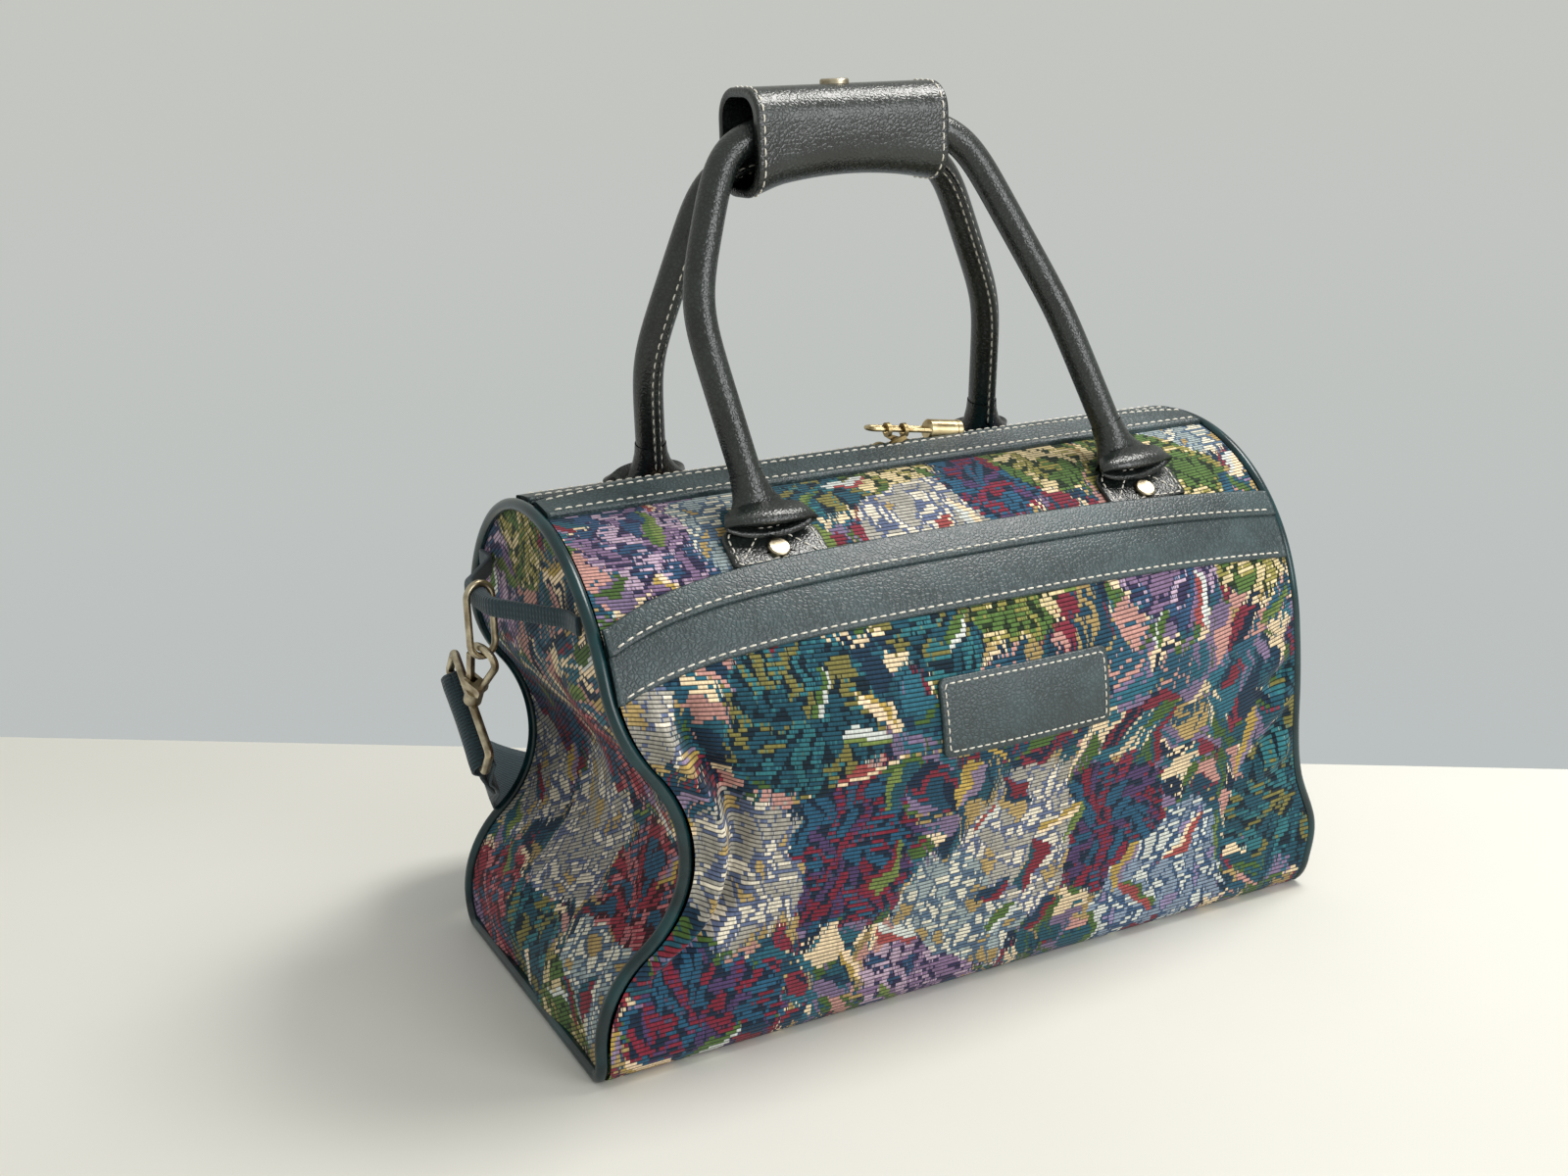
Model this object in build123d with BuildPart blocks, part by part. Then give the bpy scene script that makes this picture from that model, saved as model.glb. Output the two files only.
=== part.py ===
"""Tapestry travel bag with piped ends, a front pocket, rolled handles and a clip-on strap.

Millimetres, +Z up, +X along the bag, -Y towards the front. The origin is on the table under the middle
of the base.
"""
import os
from math import acos, atan2, cos, radians, sin, sqrt

from build123d import *

os.makedirs("parts", exist_ok=True)

# Body
bag_height = 233.0
base_half_depth = 90.0
mid_half_depth = 108.0
end_half_depth = 90.5
base_corner = 14.0
base_half_length = 192.0
left_waist_cave = 41.0
right_waist_cave = 9.0
shoulder_cave = 14.0
bulge_height = 16.0
waist_share = 0.425
shoulder_share = 0.76
fabric = 2.4
sole_flat = 0.3
base_seam_height = 16.0
board_thickness = 3.0
board_margin = 6.0
overrun = 10.0

# Piping round the ends
piping_proud = 2.0
piping_depth = 4.0

# Front pocket
pocket_thickness = 2.0
facing_thickness = 3.0
binding_thickness = 4.5
band_drop = 23.0
binding_height = 7.0
band_lap = 3.0
facing_height = 21.0
patch_centre_x = 10.0
patch_width = 88.0
patch_height = 34.0
patch_drop = 24.0
patch_thickness = 1.8
patch_corner = 3.0

# Zip
strip_inner = 4.0
strip_seat = 14.0
strip_outer = 20.0
strip_rise = 3.0
tape_thickness = 0.8
tape_seat = 0.15
tape_outer = 17.0
tape_gap = 0.4
teeth_half_width = 2.6
teeth_drop = 0.4
tooth_pitch = 3.0
tooth_groove = 1.1
tooth_groove_depth = 0.9

# Sliders, pulls and padlock
run_clearance = 0.3
slider_length = 13.0
slider_plate = 1.3
slider_flange = 0.8
slider_gap = 1.0
slider_centre_x = 6.0
bail_inner_radius = 4.2
bail_wire = 1.4
bail_width = 2.0
pull_bar_radius = 0.8
pull_bar_reach = 2.0
pull_lane_near = 5.0
pull_lane_far = 2.0
pull_width = 2.0
pull_depth = 3.2
pull_reach = 11.5
pull_middle_share = 0.5
eye_inner_radius = 2.0
eye_outer_radius = 3.4
eye_thickness = 1.8
leg_height = 11.8
shackle_half_gap = 3.5
shackle_radius = 1.1
shackle_back = 14.5
shackle_seat = 3.0
padlock_tilt = 8.0
barrel_radius = 5.0
barrel_length = 19.0
barrel_front = 14.5
barrel_edge = 0.8
barrel_groove = 0.5
keyway_width = 1.0
keyway_height = 4.0

# Handles
handle_radius = 7.0
handle_fin = 3.0
handle_fin_thickness = 2.6
handle_foot_y = 47.0
handle_top_y = 7.2
front_handle_span = 194.0
front_handle_centre = 10.0
front_handle_rise = 152.0
rear_handle_span = 184.0
rear_handle_centre = -6.0
rear_handle_rise = 140.0
front_route_shares = ((-0.5, 0.0), (-0.59, 0.58), (-0.461, 1.0), (0.142, 1.0), (0.366, 0.47), (0.5, 0.0))
rear_route_shares = ((-0.5, 0.0), (-0.538, 0.42), (-0.397, 1.0), (0.234, 1.0), (0.451, 0.5), (0.5, 0.0))
handle_bends = (40.0, 22.0, 26.0, 45.0)
flare_length = 18.0
flare_sink = 4.0
flare_half_width = 20.0
flare_half_depth = 6.5
tab_width = 45.0
tab_thickness = 2.4
tab_drop = 5.0
rear_tab_height = 34.0
tab_corner = 8.0
rivet_y = 61.0
rivet_radius = 5.0
rivet_height = 2.0
rivet_round = 0.9

# Hand wrap
wrap_length = 96.0
wrap_centre_x = -21.0
wrap_depth = 34.0
wrap_height = 42.0
wrap_corner = 12.0
wrap_leather = 2.4
wrap_seat_gap = 0.8
flap_half_width = 9.0
flap_thickness = 1.6
snap_radius = 6.5
snap_height = 2.2
snap_round = 1.0
socket_radius = 4.6
socket_height = 2.0
socket_bore = 2.2

# Ring keepers and rings
webbing = 2.5
keeper_height = 8.0
keeper_drop = 37.0
keeper_bow = 23.0
keeper_foot_outer = 63.0
keeper_foot_inner = 50.0
keeper_bow_half = 16.0
keeper_bend = 14.0
ring_wire = 1.6
ring_half_width = 6.4
ring_straight = 20.0
ring_turn = 15.0

# Snap hooks
clip_tilt = 40.0
hook_turn = 65.0
hook_wire = 1.75
hook_bow = 6.8
hook_neck_half = 2.4
hook_bow_drop = 2.7
hook_taper = 23.0
shoulder_top = 21.5
shoulder_left = 6.2
shoulder_right = 4.4
shoulder_thickness = 6.4
neck_top = 27.5
neck_radius = 4.2
neck_length = 8.5
gate_thickness = 2.8
gate_width = 2.6
gate_slot_gap = 0.2
gate_pivot_across = 3.4
gate_pivot_along = 24.3
gate_tip_across = 6.8
gate_tip_along = 3.6
gate_pin_radius = 0.8
pin_clearance = 0.05

# Strap loops, strap and slide
loop_wire = 2.0
loop_half_width = 28.0
loop_depth = 16.0
loop_corner = 2.6
post_radius = 1.8
post_clearance = 0.2
post_top = 29.0
strap_half_width = 25.0
strap_thickness = 2.0
strap_bend = 30.0
strap_route_shares = (
    (0.048, 0.17, 0.16),
    (0.106, 0.357, 0.48),
    (0.122, 0.558, 0.88),
    (0.164, 0.745, 1.12),
    (0.28, 0.888, 0.88),
    (0.49, 0.96, 0.4),
    (0.735, 0.992, 0.12),
)
eye_clearance = 0.3
slide_half_length = 9.5
floor_gap = 0.5

# Worked-out places
shoulder_half_length = base_half_length - shoulder_cave
waist_height = waist_share * bag_height
shoulder_height = shoulder_share * bag_height
band_top = bag_height - band_drop
band_mouth = band_top - binding_height
band_low = band_mouth - facing_height
patch_high = band_low - patch_drop
patch_low = patch_high - patch_height
tab_high = bag_height - tab_drop
rear_tab_low = tab_high - rear_tab_height
front_handle_top = bag_height + front_handle_rise
rear_handle_top = bag_height + rear_handle_rise
keeper_z = bag_height - keeper_drop
keeper_bow_x = shoulder_half_length + keeper_bow
skin_reach = base_half_length + overrun
far = base_half_length + bag_height


def half_depth_at(x):
    """Half depth of the stuffed bag at a place along it."""
    return mid_half_depth - (mid_half_depth - end_half_depth) * (x / shoulder_half_length) ** 2


def top_height(x, y):
    """Height of the outer cloth over a point of the upper half."""
    depth = half_depth_at(x)
    return bag_height - depth + sqrt(depth**2 - y**2)


def skin(grown):
    """The stuffed bag as one solid, grown by an amount and long enough to be trimmed at both ends."""
    with BuildPart() as body:
        for station in (-skin_reach, 0, skin_reach):
            depth = half_depth_at(station)
            crown = bag_height - depth
            foot = base_half_depth + grown
            corner = base_corner + grown
            inner_foot = foot - corner
            corner_z = base_corner - sole_flat
            sole_z = corner_z - corner
            with BuildSketch(Plane.YZ.offset(station)):
                with BuildLine():
                    Line((-inner_foot, sole_z), (inner_foot, sole_z))
                    CenterArc((inner_foot, corner_z), corner, -90, 90)
                    Line((foot, corner_z), (depth + grown, crown))
                    CenterArc((0, crown), depth + grown, 0, 180)
                    Line((-depth - grown, crown), (-foot, corner_z))
                    CenterArc((-inner_foot, corner_z), corner, 180, 90)
                make_face()
        loft()
    return body.part


def end_line(side, cave, inset):
    """One end's outline from the sole to the top, caved in at the waist; side is -1 at the left."""
    base = side * (base_half_length - inset)
    waist = side * (base_half_length - cave - inset)
    shoulder = side * (shoulder_half_length - inset)
    lower_mid = ((base + waist) / 2, (bulge_height + waist_height) / 2)
    upper_mid = ((waist + shoulder) / 2, (waist_height + shoulder_height) / 2)
    Line((0, -overrun), (base, -overrun))
    Line((base, -overrun), (base, bulge_height))
    lower = TangentArc((base, bulge_height), lower_mid, tangent=(0, 1))
    TangentArc(lower_mid, (waist, waist_height), tangent=lower % 1)
    upper = TangentArc((waist, waist_height), upper_mid, tangent=(0, 1))
    TangentArc(upper_mid, (shoulder, shoulder_height), tangent=upper % 1)
    Line((shoulder, shoulder_height), (shoulder, bag_height + overrun))
    Line((shoulder, bag_height + overrun), (0, bag_height + overrun))


def length_block(inset):
    """Everything between the two ends."""
    with BuildPart() as block:
        with BuildSketch(Plane.XZ):
            with BuildLine():
                end_line(-1, left_waist_cave, inset)
                end_line(1, right_waist_cave, inset)
            make_face()
        extrude(amount=mid_half_depth + overrun, both=True)
    return block.part


def slab(low, high):
    """A box between two corners."""
    size = [b - a for a, b in zip(low, high)]
    middle = tuple((a + b) / 2 for a, b in zip(low, high))
    with BuildPart() as box:
        with Locations(middle):
            Box(*size)
    return box.part


def cloth_layer(outer, inner, block, low, high):
    """The layer between two skins, cut to a block and to a box."""
    with BuildPart() as layer:
        add(outer)
        add(inner, mode=Mode.SUBTRACT)
        add(block, mode=Mode.INTERSECT)
        add(slab(low, high), mode=Mode.INTERSECT)
    return layer


def keep(piece, name):
    """Labels a finished piece and writes it."""
    piece.part.label = name
    export_step(piece.part, f"parts/{name}.step")


def mirrored(piece):
    """The same piece at the other end of the bag."""
    with BuildPart() as twin:
        mirror(piece.part, about=Plane.YZ)
    return twin


outer_skin = skin(0)
inner_skin = skin(-fabric)
proud_skin = skin(piping_proud)
deep_skin = skin(-piping_depth)
pocket_skin = skin(pocket_thickness)
patch_skin = skin(pocket_thickness + patch_thickness)
facing_skin = skin(facing_thickness)
binding_skin = skin(binding_thickness)
strip_skin = skin(strip_rise)
tab_skin = skin(tab_thickness)
tape_top_skin = skin(-fabric - tape_seat)
tape_skin = skin(-fabric - tape_seat - tape_thickness)
teeth_skin = skin(-teeth_drop)

end_block = length_block(0)
end_inner_block = length_block(fabric)
panel_block = length_block(piping_depth)
proud_block = length_block(-piping_proud)

# Tapestry panels
front_panel = cloth_layer(
    outer_skin, inner_skin, panel_block, (-far, -far, base_seam_height), (far, -strip_seat, far)
)
keep(front_panel, "front_panel")

back_panel = cloth_layer(
    outer_skin, inner_skin, panel_block, (-far, strip_seat, base_seam_height), (far, far, far)
)
keep(back_panel, "back_panel")

bottom_panel = cloth_layer(
    outer_skin, inner_skin, panel_block, (-far, -far, 0), (far, far, base_seam_height)
)
keep(bottom_panel, "bottom_panel")

half_boxes = {"left": ((-far, -far, 0), (0, far, far)), "right": ((0, -far, 0), (far, far, far))}
for end, half_box in half_boxes.items():
    with BuildPart() as end_panel:
        add(end_block)
        add(end_inner_block, mode=Mode.SUBTRACT)
        add(deep_skin, mode=Mode.INTERSECT)
        add(slab(*half_box), mode=Mode.INTERSECT)
    keep(end_panel, f"{end}_end_panel")

# Stiff board on the bottom cloth
with BuildPart() as base_board:
    with BuildSketch(Plane.XY.offset(fabric - sole_flat)):
        RectangleRounded(
            2 * (base_half_length - piping_depth - board_margin),
            2 * (base_half_depth - base_corner),
            base_corner,
        )
    extrude(amount=board_thickness)
keep(base_board, "base_board")

# Piping
for end, half_box in half_boxes.items():
    with BuildPart() as piping:
        add(proud_skin)
        add(deep_skin, mode=Mode.SUBTRACT)
        add(proud_block, mode=Mode.INTERSECT)
        add(panel_block, mode=Mode.SUBTRACT)
        add(slab(*half_box), mode=Mode.INTERSECT)
    keep(piping, f"{end}_piping")

# Front pocket
pocket_panel = cloth_layer(
    pocket_skin, outer_skin, panel_block, (-far, -far, base_seam_height), (far, 0, band_low)
)
keep(pocket_panel, "pocket_panel")

pocket_facing = cloth_layer(
    facing_skin, outer_skin, panel_block, (-far, -far, band_low), (far, 0, band_mouth)
)
keep(pocket_facing, "pocket_facing")

with BuildPart() as pocket_binding:
    add(binding_skin)
    add(outer_skin, mode=Mode.SUBTRACT)
    add(panel_block, mode=Mode.INTERSECT)
    add(slab((-far, -far, band_mouth - band_lap), (far, 0, band_top)), mode=Mode.INTERSECT)
    add(pocket_facing.part, mode=Mode.SUBTRACT)
keep(pocket_binding, "pocket_binding")

with BuildPart() as label_patch:
    with BuildSketch(Plane.XZ):
        with Locations((patch_centre_x, (patch_low + patch_high) / 2)):
            RectangleRounded(patch_width, patch_high - patch_low, patch_corner)
    extrude(amount=far)
    add(patch_skin, mode=Mode.INTERSECT)
    add(pocket_skin, mode=Mode.SUBTRACT)
keep(label_patch, "label_patch")

# Zip strips, tapes and teeth
with BuildPart() as front_zip_strip:
    add(strip_skin)
    add(outer_skin, mode=Mode.SUBTRACT)
    add(slab((-far, -strip_outer, 0), (far, -strip_inner, far)), mode=Mode.INTERSECT)
    add(
        cloth_layer(
            outer_skin,
            inner_skin,
            panel_block,
            (-far, -strip_seat, bag_height / 2),
            (far, -strip_inner, far),
        ).part
    )
    add(panel_block, mode=Mode.INTERSECT)
keep(front_zip_strip, "front_zip_strip")
with BuildPart() as rear_zip_strip:
    mirror(front_zip_strip.part, about=Plane.XZ)
keep(rear_zip_strip, "rear_zip_strip")

front_zip_tape = cloth_layer(
    tape_top_skin, tape_skin, panel_block, (-far, -tape_outer, bag_height / 2), (far, -tape_gap, far)
)
keep(front_zip_tape, "front_zip_tape")
with BuildPart() as rear_zip_tape:
    mirror(front_zip_tape.part, about=Plane.XZ)
keep(rear_zip_tape, "rear_zip_tape")

tooth_count = int((shoulder_half_length - piping_depth) / tooth_pitch)
with BuildPart() as zip_teeth:
    add(teeth_skin)
    add(inner_skin, mode=Mode.SUBTRACT)
    add(panel_block, mode=Mode.INTERSECT)
    add(
        slab((-far, -teeth_half_width, bag_height / 2), (far, teeth_half_width, far)), mode=Mode.INTERSECT
    )
    with Locations((0, teeth_half_width / 2, bag_height - teeth_drop)):
        with GridLocations(2 * tooth_pitch, 0, tooth_count, 1):
            Box(tooth_groove, teeth_half_width, 2 * tooth_groove_depth, mode=Mode.SUBTRACT)
    with Locations((tooth_pitch, -teeth_half_width / 2, bag_height - teeth_drop)):
        with GridLocations(2 * tooth_pitch, 0, tooth_count - 1, 1):
            Box(tooth_groove, teeth_half_width, 2 * tooth_groove_depth, mode=Mode.SUBTRACT)
keep(zip_teeth, "zip_teeth")

# Sliders: a plate over the teeth, two flanges beside them and a bail for the pull
plate_low = bag_height - teeth_drop + run_clearance
plate_high = plate_low + slider_plate
flange_inner = teeth_half_width + run_clearance
flange_outer = flange_inner + slider_flange
flange_low = bag_height - fabric + run_clearance
slider_step = (slider_length + slider_gap) / 2
bar_height = plate_high + bail_inner_radius - pull_bar_radius - run_clearance / 2


def slider(centre_x):
    """One slider with its bail."""
    with BuildPart() as body:
        with BuildSketch(Plane.YZ.offset(centre_x)):
            with Locations((0, (plate_low + plate_high) / 2)):
                Rectangle(2 * flange_outer, slider_plate)
            for side in (-1, 1):
                with Locations((side * (flange_inner + flange_outer) / 2, (flange_low + plate_high) / 2)):
                    Rectangle(slider_flange, plate_high - flange_low)
        extrude(amount=slider_length / 2, both=True)
        with BuildSketch(Plane.XZ):
            with Locations((centre_x, plate_high)):
                Circle(bail_inner_radius + bail_wire)
                Circle(bail_inner_radius, mode=Mode.SUBTRACT)
            with Locations((centre_x, plate_high - bail_inner_radius - bail_wire)):
                Rectangle(2 * slider_length, 2 * (bail_inner_radius + bail_wire), mode=Mode.SUBTRACT)
        extrude(amount=bail_width / 2, both=True)
    return body


left_slider = slider(slider_centre_x - slider_step)
keep(left_slider, "left_slider")
right_slider = slider(slider_centre_x + slider_step)
keep(right_slider, "right_slider")

# Padlock: its near shackle leg passes through the eyes of both pulls
left_eye_x = slider_centre_x - slider_step + pull_reach
right_eye_x = slider_centre_x + slider_step - pull_reach
lock_fall = sin(radians(padlock_tilt)) / cos(radians(padlock_tilt))
lock_along = Vector(cos(radians(padlock_tilt)), 0, -sin(radians(padlock_tilt)))
lock_origin = Vector(left_eye_x, 0, bag_height + leg_height)
lock_up = Vector(sin(radians(padlock_tilt)), 0, cos(radians(padlock_tilt)))
lock_plane = Plane(origin=lock_origin, x_dir=lock_along, z_dir=lock_up)
barrel_plane = Plane(origin=lock_origin + lock_along * barrel_front, x_dir=(0, 1, 0), z_dir=lock_along)


def pull(bail_x, eye_x, lane):
    """A pull: a cross bar under the bail, a shank in its own lane and an eye round the shackle leg."""
    eye_z = bag_height + leg_height + (left_eye_x - eye_x) * lock_fall
    start = Vector(bail_x, -lane, bar_height)
    end = Vector(eye_x, -lane, eye_z - (eye_inner_radius + eye_outer_radius) / 2)
    run = end - start
    middle = start + run * pull_middle_share
    bar_length = lane + pull_width / 2 + pull_bar_reach
    bar_middle = (pull_bar_reach - lane - pull_width / 2) / 2
    with BuildPart() as body:
        with BuildSketch(Plane.XZ.offset(-bar_middle)):
            with Locations((bail_x, bar_height)):
                Circle(pull_bar_radius)
        extrude(amount=bar_length / 2, both=True)
        with BuildSketch(Plane(origin=start, x_dir=(0, 1, 0), z_dir=run)):
            Rectangle(pull_width, 2 * pull_bar_radius)
        with BuildSketch(Plane(origin=middle, x_dir=(0, 1, 0), z_dir=run)):
            Rectangle(pull_width, pull_depth)
        with BuildSketch(Plane(origin=end, x_dir=(0, 1, 0), z_dir=run)):
            Rectangle(pull_width, eye_thickness)
        loft(ruled=True)
        with BuildSketch(Plane.YZ.offset(eye_x)):
            with Locations((-shackle_half_gap, eye_z)):
                Circle(eye_outer_radius)
        extrude(amount=eye_thickness / 2, both=True)
        with BuildSketch(Plane.YZ.offset(eye_x)):
            with Locations((-shackle_half_gap, eye_z)):
                Circle(eye_inner_radius)
        extrude(amount=eye_thickness, both=True, mode=Mode.SUBTRACT)
    return body


left_pull = pull(slider_centre_x - slider_step, left_eye_x, pull_lane_near)
keep(left_pull, "left_pull")
right_pull = pull(slider_centre_x + slider_step, right_eye_x, pull_lane_far)
keep(right_pull, "right_pull")

with BuildPart() as padlock_shackle:
    with BuildLine(lock_plane) as shackle_route:
        Line((barrel_front + shackle_seat, -shackle_half_gap), (-shackle_back, -shackle_half_gap))
        ThreePointArc(
            (-shackle_back, -shackle_half_gap),
            (-shackle_back - shackle_half_gap, 0),
            (-shackle_back, shackle_half_gap),
        )
        Line((-shackle_back, shackle_half_gap), (barrel_front + shackle_seat, shackle_half_gap))
    with BuildSketch(Plane(origin=shackle_route.line @ 0, z_dir=shackle_route.line % 0)):
        Circle(shackle_radius)
    sweep()
keep(padlock_shackle, "padlock_shackle")

with BuildPart() as padlock_body:
    with BuildSketch(barrel_plane):
        Circle(barrel_radius)
    extrude(amount=barrel_length)
    chamfer(padlock_body.edges().filter_by(GeomType.CIRCLE), barrel_edge)
    with BuildSketch(barrel_plane):
        with Locations((-shackle_half_gap, 0), (shackle_half_gap, 0)):
            Circle(shackle_radius + pin_clearance)
    extrude(amount=shackle_seat + barrel_groove, mode=Mode.SUBTRACT)
    with BuildSketch(barrel_plane.offset(barrel_length)):
        Rectangle(keyway_width, keyway_height)
    extrude(amount=-shackle_seat, mode=Mode.SUBTRACT)
    with BuildSketch(barrel_plane.offset(barrel_length - shackle_seat)):
        Circle(barrel_radius + barrel_groove)
        Circle(barrel_radius - barrel_groove, mode=Mode.SUBTRACT)
    extrude(amount=-barrel_groove, mode=Mode.SUBTRACT)
keep(padlock_body, "padlock_body")


def handle_plane(side, top_z):
    """The leaning plane of a handle; side is -1 at the front and 1 at the back."""
    foot_z = top_height(front_handle_span / 2, handle_foot_y)
    lean = Vector(0, side * (handle_top_y - handle_foot_y), top_z - foot_z)
    up = lean.normalized()
    plane = Plane(origin=(0, side * handle_foot_y, foot_z), x_dir=(1, 0, 0), z_dir=(0, -up.Z, up.Y))
    return plane, lean.length


def handle_route(side, span, centre, top_z, shares):
    """Corner points of a handle in its plane, and the plane."""
    plane, rise = handle_plane(side, top_z)
    points = [Vector(centre + across * span, up * rise) for across, up in shares]
    return plane, points


def handle(side, span, centre, top_z, shares):
    """A rolled handle with its sewn fin on the inner side, from flare to flare."""
    plane, points = handle_route(side, span, centre, top_z, shares)
    first = points[0] + (points[1] - points[0]).normalized() * flare_length
    last = points[-1] + (points[-2] - points[-1]).normalized() * flare_length
    corners = [(point.X, point.Y) for point in (first, *points[1:-1], last)]
    with BuildPart() as tube:
        with BuildLine(plane) as route:
            FilletPolyline(*corners, radius=handle_bends)
        start = Plane(origin=route.line @ 0, x_dir=plane.z_dir * side, z_dir=route.line % 0)
        with BuildSketch(start):
            Circle(handle_radius)
            with Locations(((handle_radius + handle_fin) / 2, 0)):
                Rectangle(handle_radius + handle_fin, handle_fin_thickness)
        sweep()
    return tube


def tab(side, foot, knee, plane, low_z, rounded_low):
    """A tab sewn on the cloth, with the flare that the handle grows from."""
    base = plane.from_local_coords(foot)
    along = (plane.from_local_coords(knee) - base).normalized()
    sink = base - along * flare_sink
    mouth = base + along * flare_length
    with BuildPart() as leather:
        with BuildSketch(Plane.XZ):
            with Locations((base.X, (low_z + tab_high) / 2)):
                outline = Rectangle(tab_width, tab_high - low_z)
            corners = outline.vertices() if rounded_low else outline.vertices().group_by(Axis.Y)[-1]
            fillet(corners, tab_corner)
        extrude(amount=-side * far)
        add(tab_skin, mode=Mode.INTERSECT)
        with BuildSketch(Plane(origin=sink, x_dir=(1, 0, 0), z_dir=along)):
            Ellipse(flare_half_width, flare_half_depth)
        with BuildSketch(Plane(origin=mouth, x_dir=(1, 0, 0), z_dir=along)):
            Circle(handle_radius)
        loft()
        add(outer_skin, mode=Mode.SUBTRACT)
    return leather


# Handles, tabs and rivets
handle_values = {
    "front": (-1, front_handle_span, front_handle_centre, front_handle_top, front_route_shares),
    "rear": (1, rear_handle_span, rear_handle_centre, rear_handle_top, rear_route_shares),
}
rivet_feet = {"front": [], "rear": []}
for name, values in handle_values.items():
    side = values[0]
    keep(handle(*values), f"{name}_handle")
    plane, points = handle_route(*values)
    low_z = band_top if side < 0 else rear_tab_low
    for end, foot, knee in (("left", points[0], points[1]), ("right", points[-1], points[-2])):
        keep(tab(side, foot, knee, plane, low_z, side > 0), f"{name}_{end}_tab")
        rivet_feet[name].append(foot.X)


def rivets(side, feet):
    """The domed caps on one handle's tabs."""
    with BuildPart() as caps:
        for x in feet:
            spot = Vector(x, side * rivet_y, top_height(x, rivet_y))
            outward = Vector(0, spot.Y, spot.Z - bag_height + half_depth_at(x))
            with BuildSketch(Plane(origin=spot, x_dir=(1, 0, 0), z_dir=outward)):
                Circle(rivet_radius)
            extrude(amount=tab_thickness + rivet_height)
            fillet(caps.faces(Select.LAST).sort_by(Axis(spot, outward))[-1].edges(), rivet_round)
        add(tab_skin, mode=Mode.SUBTRACT)
    return caps


keep(rivets(handle_values["front"][0], rivet_feet["front"]), "front_tab_rivets")
keep(rivets(handle_values["rear"][0], rivet_feet["rear"]), "rear_tab_rivets")

# Hand wrap round both handles, closed on top by a snap
wrap_low = rear_handle_top - wrap_corner - wrap_seat_gap
wrap_middle = wrap_low + wrap_height / 2
wrap_top = wrap_low + wrap_height
with BuildPart() as handle_wrap:
    with BuildSketch(Plane.YZ.offset(wrap_centre_x)):
        with Locations((0, wrap_middle)):
            RectangleRounded(wrap_depth, wrap_height, wrap_corner)
            RectangleRounded(
                wrap_depth - 2 * wrap_leather,
                wrap_height - 2 * wrap_leather,
                wrap_corner - wrap_leather,
                mode=Mode.SUBTRACT,
            )
    extrude(amount=wrap_length / 2, both=True)
    with BuildSketch(Plane.YZ.offset(wrap_centre_x)):
        with Locations((0, wrap_middle)):
            RectangleRounded(
                wrap_depth + 2 * flap_thickness,
                wrap_height + 2 * flap_thickness,
                wrap_corner + flap_thickness,
            )
            RectangleRounded(wrap_depth, wrap_height, wrap_corner, mode=Mode.SUBTRACT)
        with Locations((0, wrap_top)):
            Rectangle(2 * flap_half_width, wrap_corner, mode=Mode.INTERSECT)
    extrude(amount=wrap_length / 2, both=True)
keep(handle_wrap, "handle_wrap")

with BuildPart() as wrap_snap_cap:
    with BuildSketch(Plane.XY.offset(wrap_top + flap_thickness)):
        with Locations((wrap_centre_x, 0)):
            Circle(snap_radius)
    extrude(amount=snap_height)
    fillet(wrap_snap_cap.edges().group_by(Axis.Z)[-1], snap_round)
    with BuildSketch(Plane.XY.offset(wrap_middle)):
        with Locations((wrap_centre_x, 0)):
            Rectangle(2 * snap_radius, 2 * snap_radius)
    extrude(amount=wrap_height / 2 + flap_thickness, mode=Mode.SUBTRACT)
keep(wrap_snap_cap, "wrap_snap_cap")

with BuildPart() as wrap_snap_socket:
    with BuildSketch(Plane.XY.offset(wrap_top - wrap_leather)):
        with Locations((wrap_centre_x, 0)):
            Circle(socket_radius)
            Circle(socket_bore, mode=Mode.SUBTRACT)
    extrude(amount=-socket_height)
keep(wrap_snap_socket, "wrap_snap_socket")

# Ring keeper: webbing bowed out from the end panel
with BuildPart() as left_ring_keeper:
    seat_x = -(shoulder_half_length + webbing / 2)
    with BuildSketch(Plane.XY.offset(keeper_z)):
        with BuildLine():
            FilletPolyline(
                (seat_x, -keeper_foot_outer),
                (seat_x, -keeper_foot_inner),
                (-keeper_bow_x, -keeper_bow_half),
                (-keeper_bow_x, keeper_bow_half),
                (seat_x, keeper_foot_inner),
                (seat_x, keeper_foot_outer),
                radius=keeper_bend,
            )
        trace(line_width=webbing)
    extrude(amount=keeper_height / 2, both=True)
keep(left_ring_keeper, "left_ring_keeper")
keep(mirrored(left_ring_keeper), "right_ring_keeper")

# Ring hanging from the keeper
ring_plane = Plane(
    origin=(-keeper_bow_x, 0, keeper_z),
    x_dir=(cos(radians(ring_turn)), sin(radians(ring_turn)), 0),
    z_dir=(sin(radians(ring_turn)), -cos(radians(ring_turn)), 0),
)
with BuildPart() as left_ring:
    with BuildLine(ring_plane) as ring_route:
        Line((ring_half_width, -ring_straight), (ring_half_width, 0))
        ThreePointArc((ring_half_width, 0), (0, ring_half_width), (-ring_half_width, 0))
        Line((-ring_half_width, 0), (-ring_half_width, -ring_straight))
        ThreePointArc(
            (-ring_half_width, -ring_straight),
            (0, -ring_straight - ring_half_width),
            (ring_half_width, -ring_straight),
        )
    with BuildSketch(Plane(origin=ring_route.line @ 0, z_dir=ring_route.line % 0)):
        Circle(ring_wire)
    sweep()
keep(left_ring, "left_ring")
keep(mirrored(left_ring), "right_ring")

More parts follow.
